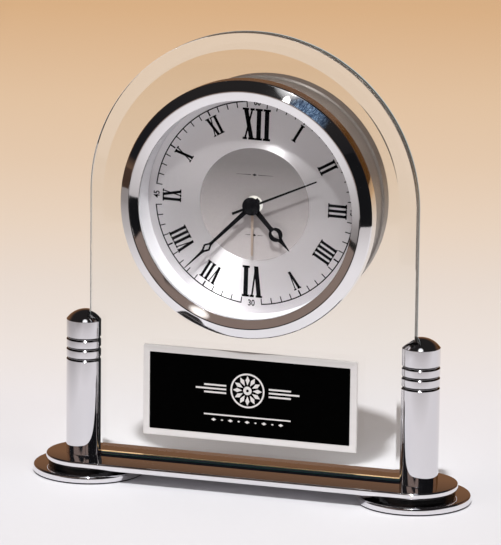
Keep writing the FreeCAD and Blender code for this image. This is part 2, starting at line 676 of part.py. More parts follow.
def minute_hand():
    """Long hand with an open lozenge towards its tip."""
    stations = [(-3.6, 0.75), (0, 0.85), (19.0, 0.5), (20.3, 0.6), (22.0, 1.45), (23.9, 0.6), (25.1, 0.45),
                (33.0, 0.14)]
    eye = flat(hand_outline(MINUTE_ANGLE, [(20.6, 0.05), (22.0, 0.8), (23.4, 0.05)]), (0, 2))
    return hand(MINUTE_ANGLE, stations, 2.4, MINUTE_PIPE_R[1] + FIT, (0.95, 1.2)).cut(eye)


def hour_hand():
    """Short hand with a pierced round head."""
    stations = [(-3.0, 0.9), (0, 1.0), (9.6, 0.75), (10.6, 0.95), (14.9, 0.9), (16.2, 0.6), (19.8, 0.12)]
    head_at = polar(12.6, clock_angle(HOUR_ANGLE))
    blade = hand(HOUR_ANGLE, stations, 2.6, HOUR_PIPE_R[1] + FIT, (1.55, 1.8))
    blade = blade.fuse(tube(2.45, (1.55, 1.8), head_at)).removeSplitter()
    eye = flat(hand_outline(HOUR_ANGLE, [(11.0, 0.5), (11.7, 0.95), (12.8, 1.0), (14.4, 0.1)]), (0, 3))
    return blade.cut(eye)


def alarm_hand():
    stations = [(-2.4, 0.4), (0, 0.45), (16.6, 0.4), (17.5, 0.2)]
    return hand(ALARM_ANGLE, stations, 2.5, ALARM_PIPE_R[1] + FIT, (2.15, 2.35))


def set_arbor(at, mesh, layer, front_d, phase):
    """Setting arbor with its pinion; it passes the rear cover."""
    body = arbor(at, (layer[1], COVER_D[1] + 3.4), KNOB_ARBOR_R)
    body = body.fuse(arbor(at, (front_d, layer[1]), TRAIN_ARBOR_R))
    return body.fuse(gear(mesh[1], mesh[2], layer, at, phase, 0.06)).removeSplitter()


def set_knob(at):
    """Ribbed knob pressed on its arbor."""
    knob = tube(4.6, (COVER_D[1] + 0.3, COVER_D[1] + 4.0), at)
    for rib in range(16):
        knob = knob.cut(tube(0.42, (COVER_D[1] + 0.2, COVER_D[1] + 4.2), polar(4.75, rib * 22.5, at)))
    knob = knob.cut(tube(2.8, (COVER_D[1] + 3.6, COVER_D[1] + 5), at))
    return knob.cut(tube(KNOB_ARBOR_R + FIT, (COVER_D[1], COVER_D[1] + 3.4), at))


def alarm_switch():
    """Slide button that turns the alarm on and off."""
    plate = head_block((-25.5, -17.5), (COVER_D[0] - 1.0, COVER_D[0] - 0.1), (7.4, 12.6))
    stem = head_block((-24.4, -19.4), (COVER_D[0] - 0.1, COVER_D[1] + 1.2), (8.6, 11.4))
    for groove in range(4):
        x = -23.4 + groove * 1.0
        stem = stem.cut(head_block((x, x + 0.4), (COVER_D[1] + 0.8, COVER_D[1] + 2), (8, 12)))
    return plate.fuse(stem).removeSplitter()


def battery_door():
    """Flat lid over the battery well, with a thumb grip and two ribs."""
    door = head_block((-WELL_HALF_X + 0.2, WELL_HALF_X - 0.2), DOOR_D,
                      (BATTERY_Z - WELL_HALF_Z + 0.2, BATTERY_Z + WELL_HALF_Z - 0.2))
    for groove in range(4):
        z = BATTERY_Z + 3.0 + 0.9 * groove
        door = door.cut(head_block((-6, 6), (DOOR_D[1] - 0.35, 30), (z, z + 0.45)))
    return door


# ---------------------------------------------------------------- build
def all_parts():
    phases = train_phases()
    parts = {
        "base_plate": base_plate(),
        "post_screws": post_screws(),
        "glass_panel": glass_panel(),
        "engraving_plate": engraving_plate(),
        "engraving_insert": engraving_insert(),
        "mounting_tape": mounting_tape(),
        "bezel_ring": bezel_ring(),
        "crystal": tube(CRYSTAL_R, CRYSTAL_D),
        "rehaut_ring": rehaut_ring(),
        "front_gasket": tube(BEZEL_R - 0.5, (GASKET_D, 0), (0, 0), GLASS_HOLE_R + 0.2),
        "rear_gasket": tube(DRUM_R - 0.3, (GLASS_THICKNESS, DRUM_FRONT_D), (0, 0), GLASS_HOLE_R + 0.2),
        "drum_shell": drum_shell(),
        "dial": dial(),
        "movement_plate": movement_plate(),
        "middle_plate": middle_plate(),
        "train_bridge": train_bridge(),
        "bridge_screws": bridge_screws(),
        "rear_cover": rear_cover(),
        "cover_screws": cover_screws(),
        "battery": battery(),
        "positive_contact": positive_contact(),
        "negative_contact": negative_contact(),
        "stator": stator(),
        "coil": coil(),
        "circuit_board": circuit_board(),
        "quartz_can": quartz_can(),
        "buzzer": buzzer(),
        "alarm_contact": alarm_contact(),
        "rotor": rotor(phases),
        "intermediate_wheel": intermediate_wheel(phases),
        "second_wheel": second_wheel(phases),
        "third_wheel": third_wheel(phases),
        "centre_wheel": centre_wheel(phases),
        "minute_pipe": minute_pipe(phases),
        "motion_wheel": motion_wheel(phases),
        "hour_wheel": hour_wheel(phases),
        "alarm_wheel": alarm_wheel(phases),
        "second_hand": second_hand(),
        "minute_hand": minute_hand(),
        "hour_hand": hour_hand(),
        "alarm_hand": alarm_hand(),
        "time_set_arbor": set_arbor(TIME_KNOB_AT, MINUTE_MESH, grown(MINUTE_LAYER), 7.6,
                                    phases["time_pinion"]),
        "alarm_set_arbor": set_arbor(ALARM_KNOB_AT, ALARM_MESH, grown(ALARM_LAYER), 5.05,
                                     phases["alarm_pinion"]),
        "time_set_knob": set_knob(TIME_KNOB_AT),
        "alarm_set_knob": set_knob(ALARM_KNOB_AT),
        "alarm_switch": alarm_switch(),
        "battery_door": battery_door(),
    }
    for side, word in ((-1, "left"), (1, "right")):
        parts[word + "_foot"] = foot(side)
        parts[word + "_foot_pad"] = foot_pad(side)
        parts[word + "_foot_spacer"] = foot_spacer(side)
        parts[word + "_post"] = post(side)
    return parts


def main():
    os.makedirs("parts", exist_ok=True)
    parts = all_parts()
    for name, shape in sorted(parts.items()):
        if not shape.isValid():
            raise ValueError(name + " is not a valid shape")
        shape.exportStep("parts/" + name + ".step")
        print(name, len(shape.Solids), round(shape.Volume, 2))


main()
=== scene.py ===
import math

import bmesh
import bpy
from mathutils import Matrix, Vector


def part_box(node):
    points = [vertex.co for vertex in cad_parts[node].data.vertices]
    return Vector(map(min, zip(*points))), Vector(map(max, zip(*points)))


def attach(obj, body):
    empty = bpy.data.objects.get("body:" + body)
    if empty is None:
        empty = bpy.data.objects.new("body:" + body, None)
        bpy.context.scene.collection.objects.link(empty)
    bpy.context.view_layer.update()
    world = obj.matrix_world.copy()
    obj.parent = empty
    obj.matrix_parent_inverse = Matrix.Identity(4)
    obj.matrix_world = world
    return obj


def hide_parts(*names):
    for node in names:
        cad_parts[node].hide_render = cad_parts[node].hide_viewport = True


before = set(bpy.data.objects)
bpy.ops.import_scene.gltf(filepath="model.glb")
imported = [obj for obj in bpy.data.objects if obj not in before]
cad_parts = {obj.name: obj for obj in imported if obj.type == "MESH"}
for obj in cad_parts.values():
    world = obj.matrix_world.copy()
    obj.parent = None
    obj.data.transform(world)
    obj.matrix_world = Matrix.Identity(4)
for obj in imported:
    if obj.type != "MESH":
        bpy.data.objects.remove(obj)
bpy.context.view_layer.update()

MM = 0.001


def box_mm(name):
    """The two corners of a CAD node's box, in millimetres."""
    return tuple(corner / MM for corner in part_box(name))


# ---------------------------------------------------------------- sizes, in millimetres
GLASS_LO, GLASS_HI = box_mm("glass_panel")
GLASS_FRONT = GLASS_LO.y
BEVEL_WIDTH, BEVEL_DEPTH = 5.4, 1.4
GLASS_HOLE_R = 40.6

PLATE_LO, PLATE_HI = box_mm("base_plate")
PLATE_FILLET = 0.55
POST_MID_Y = GLASS_FRONT + 3.0
POST_X, POST_R = 59.85, 6.65
POST_DOME = 3.35
POST_GROOVES = (16.85, 13.3, 9.8)           # below the post's top
GROOVE_HALF, GROOVE_DEPTH = 0.6, 0.45
SLOT_INNER_X, SLOT_TOP = 50.0, 60.0         # well past the post's inner side and top
SLOT_PLAY = 0.15

TAG_LO, TAG_HI = box_mm("engraving_plate")
INK_LO, INK_HI = box_mm("engraving_insert")
ROSETTE_X = (INK_LO.x + INK_HI.x) / 2 - 0.6
ROSETTE_Z = (INK_LO.z + INK_HI.z) / 2 + 2.6
ROSETTE_RINGS = ((5.5, 6.1, 48), (0.5, 1.5, 24))        # inner radius, outer radius, steps
SIDE_RULES = ((1.1, 15.5), (-0.2, 18.5), (-1.5, 15.5))  # height beside the rosette, far end
SIDE_RULE_START, SIDE_RULE_HALF = 7.6, 0.3
LONG_RULE_DROP, LONG_RULE_REACH, LONG_RULE_HALF = 9.3, 15.5, 0.25
LOZENGE_DROP, LOZENGE_STEP = 1.8, 3                     # below the long rule, and apart

DIAL_LO, DIAL_HI = box_mm("dial")
DIAL_Z = (DIAL_LO.z + DIAL_HI.z) / 2
DIAL_FRONT_D, DIAL_BACK_D = DIAL_LO.y - GLASS_FRONT, DIAL_HI.y - GLASS_FRONT
DIAL_R = 39.35
CENTRE_DISC_R, CENTRE_HOLE_R = 19.4, 3.05
PRINT_TURN = 1.1                            # the printing sits a little turned and high on the dial
PRINT_RISE = 0.4
PRINT_Y = (DIAL_LO.y - 0.03, DIAL_LO.y + 0.03)
TRACK_R, TRACK_HALF, TICK_LENGTH = 35.0, 0.20, 2.0
TICK_HALF, HOUR_TICK_HALF = 0.17, 0.26
MINUTE_NUMBER_R = 34.7
NUMERAL_OUT_R = 32.6
NUMERAL_HEIGHT, TALL_NUMERAL_HEIGHT = 6.6, 10.8
HOUR_STEP, MINUTE_STEP = 30.0, 6.0          # degrees


def y_of(d):
    """Y of a depth behind the glass front."""
    return GLASS_FRONT + d


# ---------------------------------------------------------------- mesh helpers
def finish_mesh(mesh, sharp=32.0, merge=False):
    """Turns faces outward and shades smoothly between edges sharper than an angle in degrees."""
    bm = bmesh.new()
    bm.from_mesh(mesh)
    if merge:
        bmesh.ops.remove_doubles(bm, verts=bm.verts, dist=1e-7)
    bmesh.ops.recalc_face_normals(bm, faces=bm.faces)
    bm.to_mesh(mesh)
    bm.free()
    mesh.shade_smooth()
    mesh.set_sharp_from_angle(angle=math.radians(sharp))


def mesh_mm(name, verts, faces, sharp=32.0):
    """Mesh from points in millimetres."""
    mesh = bpy.data.meshes.new(name)
    mesh.from_pydata([tuple(c * MM for c in v) for v in verts], [], faces)
    finish_mesh(mesh, sharp)
    return mesh


def piece(name, verts, faces, material, slot, replaces=(), sharp=32.0):
    """Makes a piece from points in millimetres and sets it on the clock's body."""
    return place(name, mesh_mm(name, verts, faces, sharp), material, replaces)


def place(name, mesh, material, replaces=()):
    """Sets a finished mesh on the clock's body as a piece."""
    mesh.materials.clear()
    mesh.materials.append(material)
    obj = bpy.data.objects.new(name, mesh)
    bpy.context.scene.collection.objects.link(obj)
    bpy.context.view_layer.update()
    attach(obj, "clock_body")
    if replaces:
        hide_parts(*replaces)
    return obj


def filleted(profile, steps=5):
    """Closed profile from (a, b) or (a, b, radius) corners, the radius rounding that corner."""
    points = []
    count = len(profile)
    for i, corner in enumerate(profile):
        here = Vector(corner[:2])
        radius = corner[2] if len(corner) > 2 else 0.0
        if radius <= 0:
            points.append(tuple(here))
            continue
        to_last = Vector(profile[i - 1][:2]) - here
        to_next = Vector(profile[(i + 1) % count][:2]) - here
        u, w = to_last.normalized(), to_next.normalized()
        half = math.acos(max(-1.0, min(1.0, u.dot(w)))) / 2
        reach = min(radius / math.tan(half), to_last.length * 0.48, to_next.length * 0.48)
        radius = reach * math.tan(half)
        centre = here + (u + w).normalized() * (radius / math.sin(half))
        start, end = here + u * reach - centre, here + w * reach - centre
        sweep = start.angle_signed(end)
        for step in range(steps + 1):
            a = -sweep * step / steps
            turned = (start.x * math.cos(a) - start.y * math.sin(a),
                      start.x * math.sin(a) + start.y * math.cos(a))
            points.append((centre.x + turned[0], centre.y + turned[1]))
    return points


def lathe_data(profile, segments, point):
    """Rings of a closed turned profile; point(radius, angle, height) gives each vertex."""
    verts, rings, faces = [], [], []
    for radius, along in profile:
        if radius < 1e-6:
            rings.append([len(verts)])
            verts.append(point(0.0, 0.0, along))
        else:
            rings.append(list(range(len(verts), len(verts) + segments)))
            verts += [point(radius, 2 * math.pi * k / segments, along) for k in range(segments)]
    for first, second in zip(rings, rings[1:] + rings[:1]):
        if len(first) == 1 and len(second) == 1:
            continue
        for k in range(segments):
            n = (k + 1) % segments
            if len(first) == 1:
                faces.append((first[0], second[k], second[n]))
            elif len(second) == 1:
                faces.append((first[k], first[n], second[0]))
            else:
                faces.append((first[k], first[n], second[n], second[k]))
    return verts, faces


def turned(name, profile, material, slot, segments=192, **options):
    """Piece turned about the dial's axis from (radius, d) corners."""
    verts, faces = lathe_data(profile, segments, lambda r, a, d: (
        r * math.cos(a), y_of(d), DIAL_Z + r * math.sin(a)))
    return piece(name, verts, faces, material, slot, **options)


def upright_data(profile, x, segments=160):
    """Turned about the vertical axis at x, from (radius, z) corners."""
    return lathe_data(profile, segments, lambda r, a, z: (
        x + r * math.cos(a), POST_MID_Y + r * math.sin(a), z))


def layered_data(rings):
    """Closed solid through matching outlines, capped by flat faces at both ends."""
    count = len(rings[0])
    verts = [p for ring in rings for p in ring]
    faces = [tuple(range(count)), tuple(range(len(verts) - count, len(verts)))]
    for level in range(len(rings) - 1):
        base = level * count
        faces += [(base + k, base + (k + 1) % count, base + count + (k + 1) % count, base + count + k)
                  for k in range(count)]
    return verts, faces


def rectangle_ring(x0, x1, z0, z1, inset, corner, y, steps=6):
    """Rounded rectangle in a plane of constant y."""
    radius = max(corner - inset, 0.02)
    ring = []
    for cx, cz, start in ((x1, z1, 0), (x0, z1, 90), (x0, z0, 180), (x1, z0, 270)):
        sx = -1 if cx == x1 else 1
        sz = -1 if cz == z1 else 1
        mx, mz = cx + sx * (inset + radius), cz + sz * (inset + radius)
        for step in range(steps + 1):
            a = math.radians(start + 90 * step / steps)
            ring.append((mx + radius * math.cos(a), y, mz + radius * math.sin(a)))
    return ring


def slab(x0, x1, y0, y1):
    """Upright rectangle as a polygon."""
    return ((x0, y0), (x1, y0), (x1, y1), (x0, y1))


def prisms_data(polygons, y_front, y_back):
    """Thin solids standing on a plane, one for each (x, z) polygon."""
    verts, faces = [], []
    for polygon in polygons:
        base, count = len(verts), len(polygon)
        verts += [(x, y_front, z) for x, z in polygon] + [(x, y_back, z) for x, z in polygon]
        faces.append(tuple(range(base, base + count)))
        faces.append(tuple(range(base + 2 * count - 1, base + count - 1, -1)))
        for k in range(count):
            n = (k + 1) % count
            faces.append((base + k, base + n, base + count + n, base + count + k))
    return verts, faces


def cut_by_box(mesh, low, high):
    """The mesh less a box between two corners in millimetres."""
    bm = bmesh.new()
    bmesh.ops.create_cube(bm, size=1.0)
    for v in bm.verts:
        v.co = Vector([(low[i] + high[i]) / 2 + v.co[i] * (high[i] - low[i]) for i in range(3)]) * MM
    tool_mesh = bpy.data.meshes.new("cutter")
    bm.to_mesh(tool_mesh)
    bm.free()
    host, tool = bpy.data.objects.new("host", mesh), bpy.data.objects.new("tool", tool_mesh)
    for obj in (host, tool):
        bpy.context.scene.collection.objects.link(obj)
    modifier = host.modifiers.new("cut", "BOOLEAN")
    modifier.operation, modifier.solver, modifier.object = "DIFFERENCE", "EXACT", tool
    bpy.context.view_layer.update()
    evaluated = host.evaluated_get(bpy.context.evaluated_depsgraph_get())
    result = bpy.data.meshes.new_from_object(evaluated)
    bpy.data.objects.remove(host)
    bpy.data.objects.remove(tool)
    bpy.data.meshes.remove(tool_mesh)
    return result


# ---------------------------------------------------------------- materials
def new_material(name):
    """A node material, its tree and its main shader."""
    material = bpy.data.materials.new(name)
    material.use_nodes = True
    tree = material.node_tree
    return material, tree, tree.nodes["Principled BSDF"]


def linked(tree, kind, inputs=None, **settings):
    """A node with settings as attributes, and inputs that are sockets to link or plain values."""
    node = tree.nodes.new(kind)
    for key, value in settings.items():
        setattr(node, key, value)
    for key, value in (inputs or {}).items():
        if isinstance(value, bpy.types.NodeSocket):
            tree.links.new(value, node.inputs[key])
        else:
            node.inputs[key].default_value = value
    return node


def mixed(tree, factor, low, high):
    """Colour part of the way between two colours, each a socket or plain numbers."""
    ends = [end if isinstance(end, bpy.types.NodeSocket) else end + (1.0,) for end in (low, high)]
    node = linked(tree, "ShaderNodeMix", {"Factor": factor, "A": ends[0], "B": ends[1]}, data_type="RGBA")
    return node.outputs["Result"]


def mottled(tree, factor, colour, vary):
    """Colour that varies by a share of itself."""
    low, high = (tuple(min(1.0, c * share) for c in colour) for share in (1 - vary, 1 + vary))
    return mixed(tree, factor, low, high)


def calculated(tree, operation, first, second):
    """Result of a calculation on two sockets or plain numbers."""
    return linked(tree, "ShaderNodeMath", {0: first, 1: second}, operation=operation).outputs[0]


def set_ramp(ramp, stops):
    """Sets a colour ramp from (position, colour) stops."""
    elements = ramp.color_ramp.elements
    elements[0].position, elements[0].color = stops[0][0], stops[0][1] + (1.0,)
    elements[1].position, elements[1].color = stops[-1][0], stops[-1][1] + (1.0,)
    for position, colour in stops[1:-1]:
        elements.new(position).color = colour + (1.0,)


def noise(tree, scale, stretch=(1.0, 1.0, 1.0), detail=3.0, rough=0.6):
    """Noise on the object's own coordinates."""
    coords = linked(tree, "ShaderNodeTexCoord")
    mapping = linked(tree, "ShaderNodeMapping", {"Vector": coords.outputs["Object"], "Scale": stretch})
    return linked(tree, "ShaderNodeTexNoise", {"Vector": mapping.outputs["Vector"], "Scale": scale,
                                               "Detail": detail, "Roughness": rough}).outputs["Fac"]


def ranged(tree, value, low, high, start=0.3, end=0.7):
    """A value carried from one range into another, and held at its ends."""
    return linked(tree, "ShaderNodeMapRange", {"Value": value, "From Min": start, "From Max": end,
                                               "To Min": low, "To Max": high}).outputs["Result"]


def set_roughness(tree, bsdf, pattern, low, high):
    """Roughness that follows a pattern."""
    tree.links.new(ranged(tree, pattern, low, high), bsdf.inputs["Roughness"])


def set_bumps(tree, bsdf, height, strength, distance=0.0001):
    """Fine relief that follows a pattern, its distance in metres."""
    relief = linked(tree, "ShaderNodeBump", {"Height": height, "Strength": strength, "Distance": distance})
    tree.links.new(relief.outputs["Normal"], bsdf.inputs["Normal"])


def finish(name, colour, metallic=0.0, rough=(0.3, 0.4), vary=0.06, scale=600.0, bump=0.05,
           bump_scale=1500.0, stretch=(1.0, 1.0, 1.0), sockets=None):
    """Procedural finish: mottled colour and roughness with a fine bump."""
    material, tree, bsdf = new_material(name)
    patches = noise(tree, scale, stretch)
    tree.links.new(mottled(tree, patches, colour, vary), bsdf.inputs["Base Color"])
    set_roughness(tree, bsdf, noise(tree, scale * 0.4, stretch, detail=5.0), *rough)
    set_bumps(tree, bsdf, noise(tree, bump_scale, stretch, detail=2.0), bump)
    bsdf.inputs["Metallic"].default_value = metallic
    for key, value in (sockets or {}).items():
        bsdf.inputs[key].default_value = value
    return material


def radial_parts(tree):
    """Radius, angle and height about the dial's axis, and depth, in metres and radians."""
    coords = linked(tree, "ShaderNodeTexCoord")
    split = linked(tree, "ShaderNodeSeparateXYZ", {"Vector": coords.outputs["Object"]})
    z = calculated(tree, "SUBTRACT", split.outputs["Z"], DIAL_Z * MM)
    flat = linked(tree, "ShaderNodeCombineXYZ", {"X": split.outputs["X"], "Z": z})
    radius = linked(tree, "ShaderNodeVectorMath", {0: flat.outputs[0]}, operation="LENGTH")
    angle = calculated(tree, "ARCTAN2", z, split.outputs["X"])
    return radius.outputs["Value"], angle, z, split.outputs["Y"]


def spun_metal(name, colour, rough, anisotropic, line_scale, bump, vary=0.05, metallic=1.0):
    """Metal spun about the dial's axis: fine concentric lines that stretch the highlights."""
    material, tree, bsdf = new_material(name)
    radius, angle, _, depth = radial_parts(tree)
    spread = calculated(tree, "MULTIPLY", angle, 0.0002)
    line_vector = linked(tree, "ShaderNodeCombineXYZ", {"X": radius, "Y": spread, "Z": depth})
    lines = linked(tree, "ShaderNodeTexNoise", {"Vector": line_vector.outputs[0], "Scale": line_scale,
                                                "Detail": 4.0, "Roughness": 0.7}).outputs["Fac"]
    tree.links.new(mottled(tree, lines, colour, vary), bsdf.inputs["Base Color"])
    set_roughness(tree, bsdf, lines, *rough)
    set_bumps(tree, bsdf, lines, bump)
    tangent = linked(tree, "ShaderNodeTangent", direction_type="RADIAL", axis="Y")
    tree.links.new(tangent.outputs[0], bsdf.inputs["Tangent"])
    bsdf.inputs["Metallic"].default_value = metallic
    bsdf.inputs["Anisotropic"].default_value = anisotropic
    bsdf.inputs["Anisotropic Rotation"].default_value = 0.25
    return material


def clear_glass(name, colour, ior, rough):
    """Clear glass with a faint tint and hardly visible polishing marks."""
    material, tree, bsdf = new_material(name)
    bsdf.inputs["Base Color"].default_value = colour + (1.0,)
    bsdf.inputs["Transmission Weight"].default_value = 1.0
    bsdf.inputs["IOR"].default_value = ior
    set_roughness(tree, bsdf, noise(tree, 60.0, detail=4.0), 0.0, rough)
    set_bumps(tree, bsdf, noise(tree, 35.0, detail=1.0), 0.02, 0.0002)
    return material


def across_glass(tree, grain, wander, stops):
    """Place through the glass, from 0 in front to 1 at the rear, and the colour there."""
    coords = linked(tree, "ShaderNodeTexCoord")
    split = linked(tree, "ShaderNodeSeparateXYZ", {"Vector": coords.outputs["Object"]})
    depth = ranged(tree, split.outputs["Y"], 0.0, 1.0, GLASS_LO.y * MM, GLASS_HI.y * MM)
    place_in = calculated(tree, "ADD", depth, ranged(tree, grain, -wander, wander))
    ramp = linked(tree, "ShaderNodeValToRGB", {"Fac": place_in})
    set_ramp(ramp, stops)
    return place_in, ramp.outputs["Color"]


def glass_edge(name):
    """Ground and polished edge of the glass, cool, pale and a little cloudy, with painted light and shade:
    pale bands, a dark band and pale blue towards the rear across its thickness.
    """
    material, tree, bsdf = new_material(name)
    grain = noise(tree, 900.0, stretch=(0.2, 1.0, 0.05))
    # painted light and shade: the bands across the thickness stand in for light carried through and reflected
    # in the glass
    place_in, colour = across_glass(tree, grain, 0.015, (
        (0.2, (0.72, 0.74, 0.72)), (0.58, (0.60, 0.63, 0.61)), (0.64, (0.05, 0.068, 0.065)),
        (0.78, (0.06, 0.08, 0.078)), (0.86, (0.50, 0.60, 0.63)), (1.0, (0.62, 0.68, 0.69))))
    tree.links.new(colour, bsdf.inputs["Base Color"])
    set_roughness(tree, bsdf, grain, 0.18, 0.34)
    set_bumps(tree, bsdf, grain, 0.1)
    tree.links.new(ranged(tree, place_in, 0.95, 0.1, 0.56, 0.64), bsdf.inputs["Transmission Weight"])
    bsdf.inputs["IOR"].default_value = 1.5
    return material


def glass_foot_painted_light(name):
    """Lower edge of the glass with painted light and shade: dark in front, then sea green and gold towards
    the rear arris, painted in for the glass's green seen along its length and for reflections of the plate.
    """
    material, tree, bsdf = new_material(name)
    grain = noise(tree, 900.0, stretch=(0.1, 1.0, 1.0))
    # painted light: the bands stand in for light seen through and reflected in the lower edge
    _, colour = across_glass(tree, grain, 0.02, (
        (0.0, (0.012, 0.012, 0.016)), (0.55, (0.012, 0.012, 0.016)), (0.62, (0.0, 0.067, 0.05)),
        (0.68, (0.0, 0.067, 0.05)), (0.76, (0.38, 0.20, 0.085)), (0.88, (0.42, 0.24, 0.11)),
        (0.95, (0.83, 0.62, 0.38))))
    tree.links.new(colour, bsdf.inputs["Base Color"])
    set_roughness(tree, bsdf, grain, 0.3, 0.45)
    bsdf.inputs["Specular IOR Level"].default_value = 0.0
    return material


CHROME = finish("chrome_plate", (0.82, 0.81, 0.83), 1.0, (0.015, 0.05), 0.03, 90.0, 0.01, 2500.0)
POST_CHROME = finish("post_chrome_plate", (0.74, 0.73, 0.755), 1.0, (0.015, 0.05), 0.03, 90.0, 0.01, 2500.0,
                     stretch=(1.0, 1.0, 0.2))
# Much darker chrome on the grooves: painted shade in them, which also dims their highlights.
POST_GROOVE_PAINTED_SHADE = finish("post_groove_painted_shade", (0.16, 0.155, 0.16), 1.0, (0.06, 0.12), 0.05, 300.0, 0.02, 2500.0)
# Plain black on the faces of the slot that holds the glass.
POST_SLOT = finish("post_slot_black", (0.006, 0.006, 0.007), 0.0, (0.4, 0.6), 0.2, 400.0, 0.2, 1500.0,
                   sockets={"Specular IOR Level": 0.2})
BEZEL_CHROME = finish("bezel_chrome_plate", (0.86, 0.85, 0.86), 1.0, (0.02, 0.07), 0.03, 120.0, 0.015, 2200.0)
DRUM = spun_metal("drum_spun_metal", (0.22, 0.192, 0.174), (0.27, 0.31), 0.4, 1200.0, 0.03, metallic=0.45)
DIAL_SILVER = spun_metal("dial_spun_silver", (0.88, 0.855, 0.87), (0.42, 0.50), 0.90, 2400.0, 0.14,
                         metallic=0.86)
REHAUT = spun_metal("rehaut_satin", (0.70, 0.70, 0.73), (0.46, 0.56), 0.3, 3000.0, 0.10, metallic=0.15)
GLASS = clear_glass("clear_float_glass", (0.975, 0.985, 0.98), 1.5, 0.01)
GLASS_EDGE_PAINTED_LIGHT = glass_edge("glass_edge_painted_light")
GLASS_FOOT_PAINTED_LIGHT = glass_foot_painted_light("glass_foot_painted_light")
CRYSTAL = clear_glass("crystal_glass", (0.99, 0.99, 0.99), 1.05, 0.008)
TAG_SILVER = finish("satin_silver", (0.80, 0.78, 0.77), 0.55, (0.32, 0.42), 0.05, 500.0, 0.06, 1800.0,
                    stretch=(0.06, 1.0, 1.0))
TAG_BLACK = finish("gloss_black_lacquer", (0.0008, 0.0008, 0.0008), 0.0, (0.10, 0.16), 0.3, 300.0, 0.01,
                   900.0, sockets={"Specular IOR Level": 0.0})
PRINT_BLACK = finish("dial_ink", (0.006, 0.006, 0.007), 0.0, (0.35, 0.5), 0.3, 1500.0, 0.05, 4000.0,
                     sockets={"Specular IOR Level": 0.0})
HAND_BLACK = finish("hand_black_lacquer", (0.006, 0.006, 0.007), 0.0, (0.16, 0.28), 0.3, 1200.0, 0.04,
                    3000.0, sockets={"Specular IOR Level": 0.05})
HAND_GOLD = finish("hand_rose_gold", (0.44, 0.35, 0.29), 0.5, (0.28, 0.4), 0.08, 1200.0, 0.05, 3000.0)
# Plain gloss black on the spacers between the plate and the feet.
SPACER_BLACK = finish("spacer_gloss_black", (0.003, 0.003, 0.003), 0.0, (0.10, 0.2), 0.2, 500.0, 0.05,
                      1500.0, sockets={"Specular IOR Level": 0.35})
BLACK_PLASTIC = finish("black_moulded_plastic", (0.022, 0.022, 0.024), 0.0, (0.42, 0.58), 0.15, 900.0, 0.35,
                       1400.0)
KNOB_PLASTIC = finish("knob_plastic", (0.030, 0.030, 0.032), 0.0, (0.3, 0.42), 0.12, 900.0, 0.15, 1800.0)
WHITE_PLASTIC = finish("white_plastic", (0.78, 0.77, 0.73), 0.0, (0.35, 0.5), 0.04, 500.0, 0.12, 1500.0)
GEAR_PLASTIC = finish("gear_plastic", (0.72, 0.70, 0.62), 0.0, (0.35, 0.5), 0.05, 700.0, 0.1, 2000.0,
                      sockets={"Subsurface Weight": 0.05})
RUBBER = finish("black_rubber", (0.018, 0.018, 0.018), 0.0, (0.6, 0.8), 0.2, 800.0, 0.4, 1600.0)
TAPE = finish("foam_tape", (0.62, 0.60, 0.56), 0.0, (0.6, 0.8), 0.08, 900.0, 0.5, 1500.0)
STEEL = finish("bright_steel", (0.56, 0.55, 0.54), 1.0, (0.2, 0.36), 0.06, 500.0, 0.08, 1800.0)
COPPER = finish("copper_winding", (0.72, 0.32, 0.16), 1.0, (0.25, 0.4), 0.12, 900.0, 0.5, 900.0,
                stretch=(0.1, 0.1, 4.0))
BRASS = finish("brass", (0.68, 0.50, 0.24), 1.0, (0.22, 0.36), 0.06, 500.0, 0.08, 1800.0)
BOARD = finish("circuit_board_green", (0.05, 0.20, 0.09), 0.0, (0.3, 0.45), 0.15, 500.0, 0.1, 1200.0)
JACKET = finish("battery_jacket", (0.07, 0.09, 0.12), 0.2, (0.22, 0.34), 0.08, 250.0, 0.03, 1500.0)

SLOT_MATERIALS = {
    "chrome": CHROME, "post_chrome": POST_CHROME, "bezel_chrome": BEZEL_CHROME, "drum_metal": DRUM,
    "dial_silver": DIAL_SILVER, "rehaut_silver": REHAUT, "clear_glass": GLASS, "crystal_glass": CRYSTAL,
    "tag_silver": TAG_SILVER, "tag_black": TAG_BLACK, "tape": TAPE, "black_plastic": BLACK_PLASTIC,
    "black_rubber": RUBBER, "white_plastic": WHITE_PLASTIC, "gear_plastic": GEAR_PLASTIC,
    "hand_black": HAND_BLACK, "hand_gold": HAND_GOLD, "steel": STEEL, "copper": COPPER, "brass": BRASS,
    "board_green": BOARD, "battery_jacket": JACKET,
}


def dress_cad_nodes():
    """Gives every carried-over CAD node the procedural material of its slot."""
    for name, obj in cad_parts.items():
        for index, slot in enumerate(obj.material_slots):
            key = slot.material.name.split(".")[0] if slot.material else ""
            material = SLOT_MATERIALS.get(key, STEEL)
            if name.endswith("_knob"):
                material = KNOB_PLASTIC
            if name.endswith("_spacer"):
                material = SPACER_BLACK
            obj.material_slots[index].material = material


dress_cad_nodes()


# ---------------------------------------------------------------- glass panel
def arch_ring(inset, d, steps=96):
    """Outline of the arched panel, in from its edge, at a depth behind its front."""
    half = GLASS_HI.x - inset
    arch_z = GLASS_HI.z - GLASS_HI.x
    ring = [(-half, y_of(d), GLASS_LO.z)]
    angles = [math.pi * k / steps for k in range(steps + 1)]
    ring += [(-half * math.cos(a), y_of(d), arch_z + half * math.sin(a)) for a in angles]
    return ring + [(half, y_of(d), GLASS_LO.z)]


